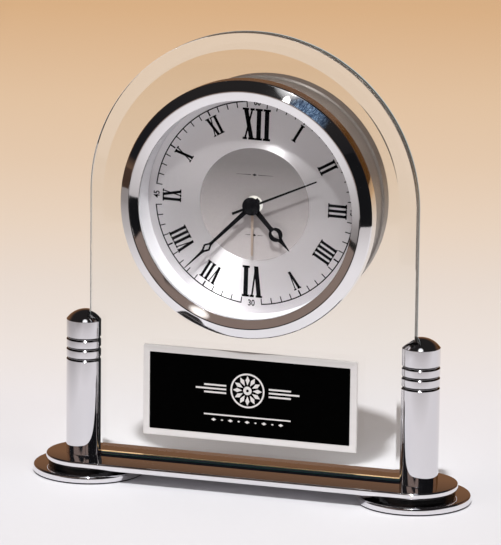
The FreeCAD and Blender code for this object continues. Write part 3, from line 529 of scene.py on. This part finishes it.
def glass_panel():
    """Arched panel with a bevelled front and a round hole, its edges ground."""
    thick = GLASS_HI.y - GLASS_LO.y
    outer = [arch_ring(inset, d) for inset, d in (
        (BEVEL_WIDTH, 0.0), (0.12, BEVEL_DEPTH - 0.04), (0.0, BEVEL_DEPTH + 0.12), (0.0, thick - 0.3),
        (0.3, thick))]
    steps = 160
    angles = [2 * math.pi * k / steps for k in range(steps)]
    hole = [[(r * math.cos(a), y_of(d), DIAL_Z + r * math.sin(a)) for a in angles]
            for r, d in ((GLASS_HOLE_R + 0.2, 0.0), (GLASS_HOLE_R, 0.2), (GLASS_HOLE_R, thick - 0.2),
                         (GLASS_HOLE_R + 0.2, thick))]
    bm = bmesh.new()
    loops = []
    for rings in (outer, hole):
        made = [[bm.verts.new(Vector(p) * MM) for p in ring] for ring in rings]
        count = len(made[0])
        for a, b in zip(made, made[1:]):
            for k in range(count):
                n = (k + 1) % count
                bm.faces.new((a[k], a[n], b[n], b[k]))
        loops.append(made)
    for end in (0, -1):
        edges = []
        for made in loops:
            ring = made[end]
            for k in range(len(ring)):
                edges.append(bm.edges.get((ring[k], ring[(k + 1) % len(ring)])))
        bmesh.ops.triangle_fill(bm, use_beauty=True, use_dissolve=False, edges=edges)
    mesh = bpy.data.meshes.new("glass_arch")
    bm.to_mesh(mesh)
    bm.free()
    finish_mesh(mesh, 12.0)
    obj = place("glass_arch", mesh, GLASS, replaces=("glass_panel",))
    obj.visible_shadow = False
    # the side and lower edges take the two edge materials with their painted light and shade
    mesh.materials.append(GLASS_EDGE_PAINTED_LIGHT)
    mesh.materials.append(GLASS_FOOT_PAINTED_LIGHT)
    for face in mesh.polygons:
        if face.normal.z < -0.9 and face.center.z < (GLASS_LO.z + 0.1) * MM:
            face.material_index = 2
            continue
        outside = face.center.z > (DIAL_Z + GLASS_HOLE_R + 1) * MM or abs(face.center.x) > GLASS_HOLE_R * MM
        if outside and abs(face.normal.y) < 0.3:
            face.material_index = 1


glass_panel()


# ---------------------------------------------------------------- stand
def base_plate():
    """Flat plate with round ends and rounded edges."""
    end_r = (PLATE_HI.y - PLATE_LO.y) / 2
    reach = PLATE_HI.x - end_r
    steps, end_steps = 5, 64
    levels = []
    for k in range(steps + 1):
        a = math.pi / 2 * k / steps
        levels.append((PLATE_FILLET * (1 - math.sin(a)), PLATE_LO.z + PLATE_FILLET * (1 - math.cos(a))))
    levels += [(inset, PLATE_HI.z + PLATE_LO.z - z) for inset, z in reversed(levels)]
    rings = []
    for inset, z in levels:
        ring = []
        for side in (1, -1):
            for k in range(end_steps + 1):
                a = -math.pi / 2 + math.pi * k / end_steps
                ring.append((side * (reach + (end_r - inset) * math.cos(a)),
                             POST_MID_Y + side * (end_r - inset) * math.sin(a), z))
        rings.append(ring)
    verts, faces = layered_data(rings)
    piece("base_plate_polished", verts, faces, CHROME, "chrome", replaces=("base_plate",), sharp=40.0)


def foot(hand):
    """Polished foot disc and the felt pad under it."""
    lo, hi = box_mm(hand + "_foot")
    x, r = (lo.x + hi.x) / 2, (hi.x - lo.x) / 2
    profile = filleted([(0, lo.z), (r, lo.z, 0.45), (r - 0.25, hi.z, 0.7), (0, hi.z)], 7)
    verts, faces = upright_data(profile, x)
    piece(hand + "_foot_disc", verts, faces, CHROME, "chrome", replaces=(hand + "_foot",))
    lo, hi = box_mm(hand + "_foot_pad")
    r = (hi.x - lo.x) / 2
    verts, faces = upright_data(filleted([(0, lo.z), (r, lo.z, 0.1), (r, hi.z), (0, hi.z)]), x)
    piece(hand + "_pad_felt", verts, faces, RUBBER, "black_rubber", replaces=(hand + "_foot_pad",))


def post_profile(foot_z, top_z):
    """Grooved post under a low dome, as (radius, z) points."""
    shoulder = top_z - POST_DOME
    dome_r = (POST_R ** 2 + POST_DOME ** 2) / (2 * POST_DOME)
    profile = [(0, foot_z), (POST_R, foot_z, 0.12)]
    for below in POST_GROOVES:
        mid = top_z - below
        profile += [(POST_R, mid - GROOVE_HALF, 0.1), (POST_R - GROOVE_DEPTH, mid, 0.15),
                    (POST_R, mid + GROOVE_HALF, 0.1)]
    profile = filleted(profile + [(POST_R, shoulder, 0.25), (POST_R - 0.55, shoulder + 0.62)])
    rim, steps = math.asin(POST_R / dome_r), 14
    for k in range(1, steps + 1):
        a = rim * 0.9 * (1 - k / steps)
        profile.append((dome_r * math.sin(a), top_z - dome_r * (1 - math.cos(a))))
    return profile


def post(side, hand):
    """Turned post with the slot that the glass stands in."""
    name = hand + "_post_turned"
    lo, hi = box_mm(hand + "_post")
    mesh = mesh_mm(name, *upright_data(post_profile(lo.z, hi.z), side * POST_X))
    edge = GLASS_HI.x + SLOT_PLAY
    slot_x = sorted((side * edge, side * SLOT_INNER_X))
    mesh = cut_by_box(mesh, (slot_x[0], GLASS_LO.y - SLOT_PLAY, GLASS_LO.z),
                      (slot_x[1], GLASS_HI.y + SLOT_PLAY, SLOT_TOP))
    finish_mesh(mesh)
    place(name, mesh, POST_CHROME, replaces=(hand + "_post",))
    mesh.materials.append(POST_GROOVE_PAINTED_SHADE)
    mesh.materials.append(POST_SLOT)
    for face in mesh.polygons:
        middle, normal = face.center / MM, face.normal
        # groove faces take the darker chrome with its painted shade
        if abs(normal.z) > 0.25 and any(abs(hi.z - below - middle.z) < 0.8 for below in POST_GROOVES):
            face.material_index = 1
        within = GLASS_LO.y - SLOT_PLAY - 0.02 < middle.y < GLASS_HI.y + SLOT_PLAY + 0.02
        if within and max(abs(normal.x), abs(normal.y)) > 0.999 and abs(middle.x) < edge + 0.02:
            face.material_index = 2


base_plate()
for side, hand in ((-1, "left"), (1, "right")):
    foot(hand)
    post(side, hand)


# ---------------------------------------------------------------- engraving plate
def tag():
    """Silver plate with a raised border, and the black field in it."""
    def tag_rings(low, high, corner, levels):
        return [rectangle_ring(low.x, high.x, low.z, high.z, inset, corner, y) for inset, y in levels]

    rings = tag_rings(TAG_LO, TAG_HI, 0.3, ((0.0, TAG_HI.y), (0.0, TAG_LO.y + 0.25), (0.07, TAG_LO.y + 0.07),
                                            (0.25, TAG_LO.y)))
    rings += tag_rings(INK_LO, INK_HI, 0.25, ((-0.12, TAG_LO.y), (0.0, TAG_LO.y + 0.12),
                                              (0.0, TAG_LO.y + 0.3)))
    verts, faces = layered_data(rings)
    piece("engraving_frame", verts, faces, TAG_SILVER, "tag_silver", replaces=("engraving_plate",))
    verts, faces = layered_data(tag_rings(INK_LO, INK_HI, 0.25, (
        (0.02, TAG_LO.y + 0.3), (0.02, INK_LO.y + 0.05), (0.06, INK_LO.y))))
    piece("engraving_field", verts, faces, TAG_BLACK, "tag_black", replaces=("engraving_insert",))


tag()


def petal_polygons(x, z, inner, outer, half_width, count):
    """Pointed petals around a point, each a narrow kite."""
    polygons = []
    for k in range(count):
        a = 2 * math.pi * k / count
        out, side = (math.sin(a), math.cos(a)), (math.cos(a), -math.sin(a))
        middle = inner + (outer - inner) * 0.55
        tip, root = ((x + out[0] * r, z + out[1] * r) for r in (outer, inner))
        flanks = [(x + out[0] * middle + side[0] * w, z + out[1] * middle + side[1] * w)
                  for w in (-half_width, half_width)]
        polygons.append([root, flanks[1], tip, flanks[0]])
    return polygons


def ring_data(x, z, inner, outer, y_front, y_back, steps):
    """Flat ring standing on a plane, around a point."""
    verts, faces = [], []
    for k in range(steps):
        a = 2 * math.pi * k / steps
        for radius, y in ((inner, y_front), (outer, y_front), (outer, y_back), (inner, y_back)):
            verts.append((x + radius * math.sin(a), y, z + radius * math.cos(a)))
        here, after = 4 * k, 4 * ((k + 1) % steps)
        for side in range(4):
            other = (side + 1) % 4
            faces.append((here + side, here + other, after + other, after + side))
    return verts, faces


def engraving():
    """Plain rosette between short rules, over a long rule: silver showing through the lacquer."""
    x, z = ROSETTE_X, ROSETTE_Z
    polygons = petal_polygons(x, z, 1.9, 5.2, 0.75, 12)
    for side in (-1, 1):
        for rise, far in SIDE_RULES:
            ends = sorted((x + side * SIDE_RULE_START, x + side * far))
            polygons.append(slab(*ends, z + rise - SIDE_RULE_HALF, z + rise + SIDE_RULE_HALF))
    low = z - LONG_RULE_DROP
    reach, half = LONG_RULE_REACH, LONG_RULE_HALF
    polygons.append(slab(x - reach, x + reach, low - half, low + half))
    low -= LOZENGE_DROP
    for k in range(-4, 5):
        middle, reach = x + LOZENGE_STEP * k, 0.9 if k % 2 == 0 else 0.5
        polygons.append([(middle - reach, low), (middle, low - reach * 0.6),
                         (middle + reach, low), (middle, low + reach * 0.6)])
    front, back = INK_LO.y - 0.02, INK_LO.y + 0.03
    verts, faces = prisms_data(polygons, front, back)
    for inner, outer, steps in ROSETTE_RINGS:
        ring_verts, ring_faces = ring_data(x, z, inner, outer, front, back, steps)
        faces += [tuple(index + len(verts) for index in face) for face in ring_faces]
        verts += ring_verts
    piece("engraving_rosette", verts, faces, TAG_SILVER, "tag_silver")


engraving()


# ---------------------------------------------------------------- clock head
# Profiles as (radius, depth behind the glass front), some corners with a fillet radius.
turned("bezel_polished", filleted([
    (44.2, -0.4), (44.45, -0.65, 0.1), (44.45, -5.75, 0.25), (44.1, -6.1, 0.3), (41.1, -8.02, 0.25),
    (40.85, -8.1, 0.15), (40.5, -8.02, 0.2), (37.7, -6.95, 0.1), (37.7, -6.6), (39.3, -6.6), (39.3, -4.3),
    (40.4, -4.3), (40.4, -0.4)]), BEZEL_CHROME, "bezel_chrome", segments=256, replaces=("bezel_ring",))
crystal = turned("crystal_lens", filleted([(0, -6.6), (39.2, -6.6, 0.2), (39.2, -5.1, 0.2), (0, -5.1)]),
                 CRYSTAL, "crystal_glass", replaces=("crystal",))
crystal.visible_shadow = False
turned("rehaut_turned", filleted([(39.2, -5.1), (39.2, DIAL_FRONT_D), (38.0, DIAL_FRONT_D),
                                  (38.0, DIAL_FRONT_D - 0.18), (37.66, DIAL_FRONT_D - 0.18),
                                  (37.75, -5.1)]), REHAUT, "rehaut_silver", replaces=("rehaut_ring",))
turned("drum_spun", filleted([
    (39.5, -4.0), (40.3, -4.0), (40.3, 6.3), (41.7, 6.3), (41.9, 6.5, 0.1), (41.9, 15.0, 0.15),
    (41.4, 15.5, 0.1), (41.4, 19.4, 0.1), (42.0, 20.0, 0.15), (42.0, 25.7, 1.5), (40.6, 25.7), (40.6, 22.4),
    (39.5, 22.4)], 8), DRUM, "drum_metal", segments=256, replaces=("drum_shell",))


# ---------------------------------------------------------------- dial
turned("dial_ring", filleted([(CENTRE_DISC_R, DIAL_BACK_D), (DIAL_R, DIAL_BACK_D),
                              (DIAL_R, DIAL_FRONT_D + 0.02), (CENTRE_DISC_R + 0.05, DIAL_FRONT_D + 0.02),
                              (CENTRE_DISC_R, DIAL_FRONT_D + 0.07)]),
       DIAL_SILVER, "dial_silver", replaces=("dial",))


def dial_centre_material():
    """Bead-blasted silver with painted shade that makes it a little darker towards the top."""
    material, tree, bsdf = new_material("dial_centre_grain_and_painted_shade")
    _, _, z, _ = radial_parts(tree)
    grain = noise(tree, 3800.0, detail=2.0, rough=0.8)
    # painted shade: the colour darkens towards the top of the disc
    top_painted_shade = ranged(tree, z, 0.52, 0.21, -0.014, 0.014)
    level = calculated(tree, "MULTIPLY", top_painted_shade, ranged(tree, grain, 0.90, 1.10))
    fainter = calculated(tree, "MULTIPLY", level, 0.93)
    colour = linked(tree, "ShaderNodeCombineColor", {"Red": level, "Green": fainter, "Blue": fainter})
    tree.links.new(colour.outputs[0], bsdf.inputs["Base Color"])
    set_roughness(tree, bsdf, grain, 0.42, 0.58)
    set_bumps(tree, bsdf, grain, 0.25)
    bsdf.inputs["Metallic"].default_value = 0.55
    return material


turned("dial_centre", filleted([(CENTRE_HOLE_R, DIAL_BACK_D), (CENTRE_DISC_R, DIAL_BACK_D),
                                (CENTRE_DISC_R, DIAL_FRONT_D + 0.05), (CENTRE_DISC_R - 0.08, DIAL_FRONT_D),
                                (CENTRE_HOLE_R, DIAL_FRONT_D)]), dial_centre_material(), "dial_silver")

# Roman letters as convex strokes in a box one unit high: (advance, strokes)
STEM, HAIR, SERIF = 0.143, 0.056, 0.068


def stroke(x_low, x_high, width):
    """Slanting stroke between the base line and the top line, with a level foot and head."""
    return ((x_low - width / 2, 0), (x_low + width / 2, 0), (x_high + width / 2, 1), (x_high - width / 2, 1))


def serif(x, y_edge, half):
    """Level bar across the foot or the head of a letter."""
    inward = SERIF if y_edge == 0 else -SERIF
    low, high = sorted((y_edge, y_edge + inward))
    return slab(x - half, x + half, low, high)


LETTERS = {
    "I": (0.262, [slab(-STEM / 2, STEM / 2, 0, 1), serif(0, 0, 0.118), serif(0, 1, 0.118)]),
    "V": (0.40, [stroke(0.008, -0.115, STEM * 0.98), stroke(0.012, 0.125, HAIR), serif(-0.115, 1, 0.105),
                 serif(0.125, 1, 0.07)]),
    "X": (0.40, [stroke(0.105, -0.105, STEM * 0.98), stroke(-0.115, 0.115, HAIR), serif(-0.105, 1, 0.105),
                 serif(0.115, 1, 0.07), serif(0.105, 0, 0.105), serif(-0.115, 0, 0.07)]),
}
NUMERALS = {0: "XII", 1: "I", 2: "II", 3: "III", 4: "IIII", 5: "V", 6: "VI", 7: "VII", 8: "VIII", 9: "IX",
            10: "X", 11: "XI"}


def on_dial(u, v, degrees):
    """Point of the printing at u to the right and v outward, along a clock angle."""
    a = math.radians(degrees + PRINT_TURN)
    return (v * math.sin(a) + u * math.cos(a), v * math.cos(a) - u * math.sin(a) + PRINT_RISE)


def numeral_polygons():
    """The roman hour numerals, with taller ones at twelve and six."""
    polygons = []
    for hour, letters in NUMERALS.items():
        height = TALL_NUMERAL_HEIGHT if hour in (0, 6) else NUMERAL_HEIGHT
        width = sum(LETTERS[c][0] for c in letters) * height
        u = -width / 2
        for c in letters:
            advance, strokes = LETTERS[c]
            middle = u + advance * height / 2
            for shape in strokes:
                polygons.append([on_dial(middle + x * height, NUMERAL_OUT_R - height + y * height,
                                         hour * HOUR_STEP) for x, y in shape])
            u += advance * height
    return polygons


def track_polygons():
    """Minute circle with its ticks, in four arcs that leave room for the minute numbers."""
    inner, outer, tick_end = TRACK_R - TRACK_HALF, TRACK_R + TRACK_HALF, TRACK_R - TICK_LENGTH
    per_minute = 8
    polygons = []
    for first in (1, 16, 31, 46):
        last = first + 13
        steps = range(1, (last - first) * per_minute)
        polygon = [on_dial(-TICK_HALF, outer, MINUTE_STEP * first)]
        polygon += [on_dial(0, outer, MINUTE_STEP * (first + k / per_minute)) for k in steps]
        polygon.append(on_dial(TICK_HALF, outer, MINUTE_STEP * last))
        for minute in range(last, first - 1, -1):
            half = HOUR_TICK_HALF if minute % 5 == 0 else TICK_HALF
            polygon += [on_dial(u, v, MINUTE_STEP * minute) for u, v in
                        ((half, inner), (half, tick_end), (-half, tick_end), (-half, inner))]
            if minute > first:
                polygon += [on_dial(0, inner, MINUTE_STEP * (minute - k / per_minute))
                            for k in range(1, per_minute)]
        polygons.append(polygon)
    return polygons


def ornament_polygons():
    """Small plain rule-and-lozenge ornaments above and below the centre."""
    polygons = []
    for middle, half in ((10.2, 6.5), (-10.6, 3.2)):
        for side in (-1, 1):
            polygons.append([(side * 1.3, middle - 0.09), (side * half, middle - 0.03),
                             (side * half, middle + 0.03), (side * 1.3, middle + 0.09)][::side])
        polygons.append([(-0.8, middle), (0, middle - 0.45), (0.8, middle), (0, middle + 0.45)])
    return polygons


def printed(name, polygons):
    """Black printing on the dial, from polygons about its centre."""
    verts, faces = prisms_data([[(x, DIAL_Z + z) for x, z in p] for p in polygons], *PRINT_Y)
    piece(name, verts, faces, PRINT_BLACK, "hand_black")


printed("dial_numerals", numeral_polygons())
printed("dial_minute_track", track_polygons())
printed("dial_ornaments", ornament_polygons())


def minute_number(text, clock_degrees, up_degrees):
    """A minute number from the built-in letter shapes; up_degrees is its upward direction."""
    curve = bpy.data.curves.new("minute_" + text, "FONT")
    curve.body, curve.size, curve.align_x, curve.align_y = text, 2.9, "CENTER", "CENTER"
    curve.extrude, curve.offset = 0.03, 0.06
    maker = bpy.data.objects.new("maker", curve)
    bpy.context.scene.collection.objects.link(maker)
    bpy.context.view_layer.update()
    mesh = bpy.data.meshes.new_from_object(maker.evaluated_get(bpy.context.evaluated_depsgraph_get()))
    bpy.data.objects.remove(maker)
    x, z = on_dial(0, MINUTE_NUMBER_R, clock_degrees)
    upright = Matrix.Rotation(math.radians(90), 4, "X")
    turn = Matrix.Rotation(math.radians(up_degrees + PRINT_TURN), 4, "Y") @ upright
    narrow = Matrix.Diagonal((0.86, 1.0, 1.0, 1.0))
    mesh.transform(Matrix.Scale(MM, 4) @ Matrix.Translation((x, DIAL_LO.y, DIAL_Z + z)) @ turn @ narrow)
    finish_mesh(mesh, merge=True)
    place("dial_minute_" + text, mesh, PRINT_BLACK)


for text, clock_degrees, up_degrees in (("60", 0, 0), ("15", 90, 90), ("30", 180, 0), ("45", 270, 270)):
    minute_number(text, clock_degrees, up_degrees)


# ---------------------------------------------------------------- studio
SWEEP_DIRECTION = (-0.298, 0.955, 0.0)      # the way in which the floor warms
SIDE_DIRECTION = (-0.955, -0.298, 0.0)      # the way in which painted shade darkens it beyond the picture
FLOOR_FROM, FLOOR_TO = -0.5, 1.0            # metres along the sweep covered by its colours


def floor_material():
    """Pale sweep that warms with distance behind the object and grows darker far in front, with painted shade
    to the side beyond the picture.
    """
    material, tree, bsdf = new_material("pale_sweep")
    coords = linked(tree, "ShaderNodeTexCoord")
    away = linked(tree, "ShaderNodeVectorMath", {0: coords.outputs["Object"], 1: SWEEP_DIRECTION},
                  operation="DOT_PRODUCT")
    along = ranged(tree, away.outputs["Value"], 0.0, 1.0, FLOOR_FROM, FLOOR_TO)
    ramp = linked(tree, "ShaderNodeValToRGB", {"Fac": along})
    stops = ((-0.42, (0.32, 0.31, 0.32)), (-0.24, (0.46, 0.45, 0.465)), (-0.11, (0.65, 0.65, 0.68)),
             (0.0, (0.67, 0.675, 0.71)), (0.11, (0.705, 0.69, 0.71)), (0.2, (0.72, 0.68, 0.655)),
             (0.3, (0.72, 0.655, 0.60)), (0.41, (0.75, 0.635, 0.525)), (0.54, (0.765, 0.605, 0.453)),
             (0.68, (0.79, 0.595, 0.41)), (0.94, (0.80, 0.53, 0.30)))
    set_ramp(ramp, [((metres - FLOOR_FROM) / (FLOOR_TO - FLOOR_FROM), colour) for metres, colour in stops])
    # painted shade: the colour darkens to the side, beyond the picture
    aside = linked(tree, "ShaderNodeVectorMath", {0: coords.outputs["Object"], 1: SIDE_DIRECTION},
                   operation="DOT_PRODUCT")
    dim = linked(tree, "ShaderNodeValToRGB", {"Fac": aside.outputs["Value"]})
    set_ramp(dim, ((0.13, (1.0, 1.0, 1.0)), (0.26, (0.62, 0.61, 0.60)), (0.5, (0.36, 0.345, 0.335))))
    lit = linked(tree, "ShaderNodeMix", {"Factor": 1.0, "A": ramp.outputs["Color"],
                                         "B": dim.outputs["Color"]}, data_type="RGBA", blend_type="MULTIPLY")
    tree.links.new(lit.outputs["Result"], bsdf.inputs["Base Color"])
    bsdf.inputs["Roughness"].default_value = 0.8
    bsdf.inputs["Specular IOR Level"].default_value = 0.1
    return material


def studio_floor():
    """Wide round floor that the clock stands on."""
    bm = bmesh.new()
    bmesh.ops.create_circle(bm, cap_ends=True, segments=64, radius=4.0)
    mesh = bpy.data.meshes.new("floor")
    bm.to_mesh(mesh)
    bm.free()
    mesh.materials.append(floor_material())
    obj = bpy.data.objects.new("floor", mesh)
    bpy.context.scene.collection.objects.link(obj)


studio_floor()


CARD_BROWN = (0.24, 0.18, 0.155)


def flag(name, start, end, radius, height, colour, foot=0.001):
    """Low curved card beyond the picture that glows with its own colour instead of being lit, and only shows
    in reflections.
    """
    steps, verts, faces = 24, [], []
    for k in range(steps + 1):
        a = math.radians(start + (end - start) * k / steps)
        x, y = radius * math.sin(a), -radius * math.cos(a)
        verts += [(x, y, foot), (x, y, height)]
        if k < steps:
            faces.append((2 * k, 2 * k + 2, 2 * k + 3, 2 * k + 1))
    mesh = bpy.data.meshes.new(name)
    mesh.from_pydata(verts, [], faces)
    material, tree, bsdf = new_material(name)
    # painted reflection: the card's glow stands in for a lit or dark card
    glow_colour = mottled(tree, noise(tree, 40.0), colour, 0.2)
    glow = linked(tree, "ShaderNodeEmission", {"Color": glow_colour, "Strength": 1.0})
    rays = linked(tree, "ShaderNodeLightPath")
    mirrored = calculated(tree, "GREATER_THAN", rays.outputs["Glossy Depth"], 0.5)
    unseen = linked(tree, "ShaderNodeBsdfTransparent")
    shown = linked(tree, "ShaderNodeMixShader", {0: mirrored, 1: unseen.outputs[0], 2: glow.outputs[0]})
    tree.nodes.remove(bsdf)
    tree.links.new(shown.outputs[0], tree.nodes["Material Output"].inputs["Surface"])
    mesh.materials.append(material)
    obj = bpy.data.objects.new(name, mesh)
    bpy.context.scene.collection.objects.link(obj)
    obj.visible_camera = obj.visible_diffuse = obj.visible_shadow = False


# name, first and last azimuth in degrees, radius and height in metres, colour
flag("flag_right", 15, 110, 0.38, 0.25, (0.008, 0.008, 0.009))
flag("flag_left", -60, -115, 0.80, 0.10, (0.06, 0.035, 0.025))
flag("flag_front", -46, 15, 0.42, 0.07, (0.02, 0.018, 0.017))
flag("card_right", 9, 24, 0.36, 0.19, CARD_BROWN, foot=0.085)
flag("card_left", -60, -38, 0.80, 0.13, CARD_BROWN, foot=0.03)
flag("strip_left", -60, -46, 0.80, 0.03, (0.02, 0.018, 0.017))


def direction(azimuth, elevation):
    """Unit vector towards an azimuth, from the front, and an elevation, in degrees."""
    a, e = math.radians(azimuth), math.radians(elevation)
    return Vector((math.sin(a) * math.cos(e), -math.cos(a) * math.cos(e), math.sin(e)))


def softbox(name, azimuth, elevation, distance, size, power):
    """Round area light that faces the clock."""
    light = bpy.data.lights.new(name, "AREA")
    light.shape, light.size, light.energy = "DISK", size, power
    obj = bpy.data.objects.new(name, light)
    bpy.context.scene.collection.objects.link(obj)
    away = direction(azimuth, elevation)
    obj.location = Vector((0, 0, 0.08)) + away * distance
    obj.rotation_mode = "QUATERNION"
    obj.rotation_quaternion = away.to_track_quat("Z", "Y")
    obj.visible_camera = False
    return obj


# name, azimuth and elevation in degrees, distance and size in metres, watts
softbox("key", 12, 55, 3.0, 0.15, 96.0)
softbox("sparkle", 6, 49, 1.5, 0.09, 0.08)
softbox("side", 66, 44, 1.5, 0.14, 1.0).visible_glossy = False
softbox("overhead", -40, 72, 1.6, 0.9, 1.0).visible_glossy = False


def studio_world():
    """Ambient light, with a dark studio for the reflections and a warm wall behind."""
    world = bpy.data.worlds.new("studio")
    bpy.context.scene.world = world
    world.use_nodes = True
    tree = world.node_tree
    output = tree.nodes["World Output"]
    ambient = tree.nodes["Background"]
    ambient.inputs["Color"].default_value = (1.0, 0.86, 0.77, 1.0)
    ambient.inputs["Strength"].default_value = 0.38
    world.cycles.sampling_method = "NONE"
    coords = linked(tree, "ShaderNodeTexCoord")
    way = coords.outputs["Generated"]
    split = linked(tree, "ShaderNodeSeparateXYZ", {"Vector": way})

    def patch(azimuth, elevation, radius, soft):
        """One inside a round patch of sky, falling to nothing over its soft edge."""
        dot = linked(tree, "ShaderNodeVectorMath", {0: way, 1: direction(azimuth, elevation)},
                     operation="DOT_PRODUCT")
        return ranged(tree, dot.outputs["Value"], 0.0, 1.0, math.cos(math.radians(radius + soft)),
                      math.cos(math.radians(radius)))

    behind = ranged(tree, split.outputs["Y"], 0.0, 1.0, -0.05, 0.35)
    low = ranged(tree, split.outputs["Z"], 1.0, 0.0, -0.02, 0.06)
    high = ranged(tree, split.outputs["Z"], 0.0, 1.0, 0.25, 0.6)
    sky = mixed(tree, behind, (0.012, 0.012, 0.014), (0.20, 0.10, 0.052))
    sky = mixed(tree, low, sky, (0.16, 0.095, 0.06))
    sky = mixed(tree, high, sky, (0.02, 0.018, 0.018))
    for azimuth, elevation, radius in ((-20, 26, 9), (-33, 20, 9), (-43, 13, 8), (-51, 6, 7), (-8, 27, 7),
                                       (3, 24, 6), (9, 18, 5)):
        sky = mixed(tree, patch(azimuth, elevation, radius, 4), sky, CARD_BROWN)
    # two pale lamps, a speckled blue film and a dim corner
    sky = mixed(tree, patch(-0.5, 26.5, 0.5, 4), sky, (1.8, 1.7, 1.6))
    sky = mixed(tree, patch(12, 61, 9, 4), sky, (1.3, 1.3, 1.3))
    sparkle = linked(tree, "ShaderNodeTexNoise", {"Vector": way, "Scale": 110.0, "Detail": 8.0})
    glint = ranged(tree, sparkle.outputs["Fac"], 0.0, 1.0, 0.52, 0.64)
    film = mixed(tree, glint, (0.015, 0.04, 0.10), (0.50, 0.72, 1.0))
    sky = mixed(tree, patch(18, 40, 5, 7), sky, film)
    sky = mixed(tree, patch(158, 8, 8, 8), sky, (0.10, 0.04, 0.01))
    mirror = linked(tree, "ShaderNodeBackground", {"Color": sky, "Strength": 1.0})
    wall = linked(tree, "ShaderNodeBackground", {"Color": (0.80, 0.66, 0.52, 1.0), "Strength": 1.0})
    rays = linked(tree, "ShaderNodeLightPath").outputs

    # reflections see the dark studio, and what shows straight through the glass is the wall
    mirrored = calculated(tree, "GREATER_THAN", rays["Glossy Depth"], 0.5)
    scattered = calculated(tree, "GREATER_THAN", rays["Diffuse Depth"], 0.5)
    direct = linked(tree, "ShaderNodeMixShader", {0: mirrored, 1: wall.outputs[0], 2: mirror.outputs[0]})
    last = linked(tree, "ShaderNodeMixShader", {0: scattered, 1: direct.outputs[0], 2: ambient.outputs[0]})
    tree.links.new(last.outputs[0], output.inputs["Surface"])


studio_world()

# ---------------------------------------------------------------- camera
CAMERA_AZIMUTH, CAMERA_ELEVATION, CAMERA_ROLL = 17.34, 12.35, 0.66
CAMERA_DISTANCE = 1.5995
CAMERA_LENS = 312.7
CAMERA_PITCH_DOWN = 0.793


def studio_camera():
    """Long lens, aimed a little below the dial's centre."""
    data = bpy.data.cameras.new("camera")
    data.lens, data.sensor_width = CAMERA_LENS, 36.0
    data.clip_start, data.clip_end = 0.05, 50.0
    camera = bpy.data.objects.new("camera", data)
    bpy.context.scene.collection.objects.link(camera)
    back = direction(CAMERA_AZIMUTH, CAMERA_ELEVATION)
    right = Vector((0, 0, 1)).cross(back).normalized()
    up = back.cross(right)
    roll = math.radians(CAMERA_ROLL)
    right, up = (right * math.cos(roll) + up * math.sin(roll),
                 up * math.cos(roll) - right * math.sin(roll))
    pitch = math.radians(CAMERA_PITCH_DOWN)
    up, lens_back = (up * math.cos(pitch) - back * math.sin(pitch),
                     back * math.cos(pitch) + up * math.sin(pitch))
    position = Vector((0, GLASS_FRONT * MM, DIAL_Z * MM)) + back * CAMERA_DISTANCE
    rotation = Matrix((right, up, lens_back)).transposed()
    camera.matrix_world = Matrix.Translation(position) @ rotation.to_4x4()
    bpy.context.scene.camera = camera


studio_camera()
bpy.context.scene.view_settings.view_transform = "Standard"
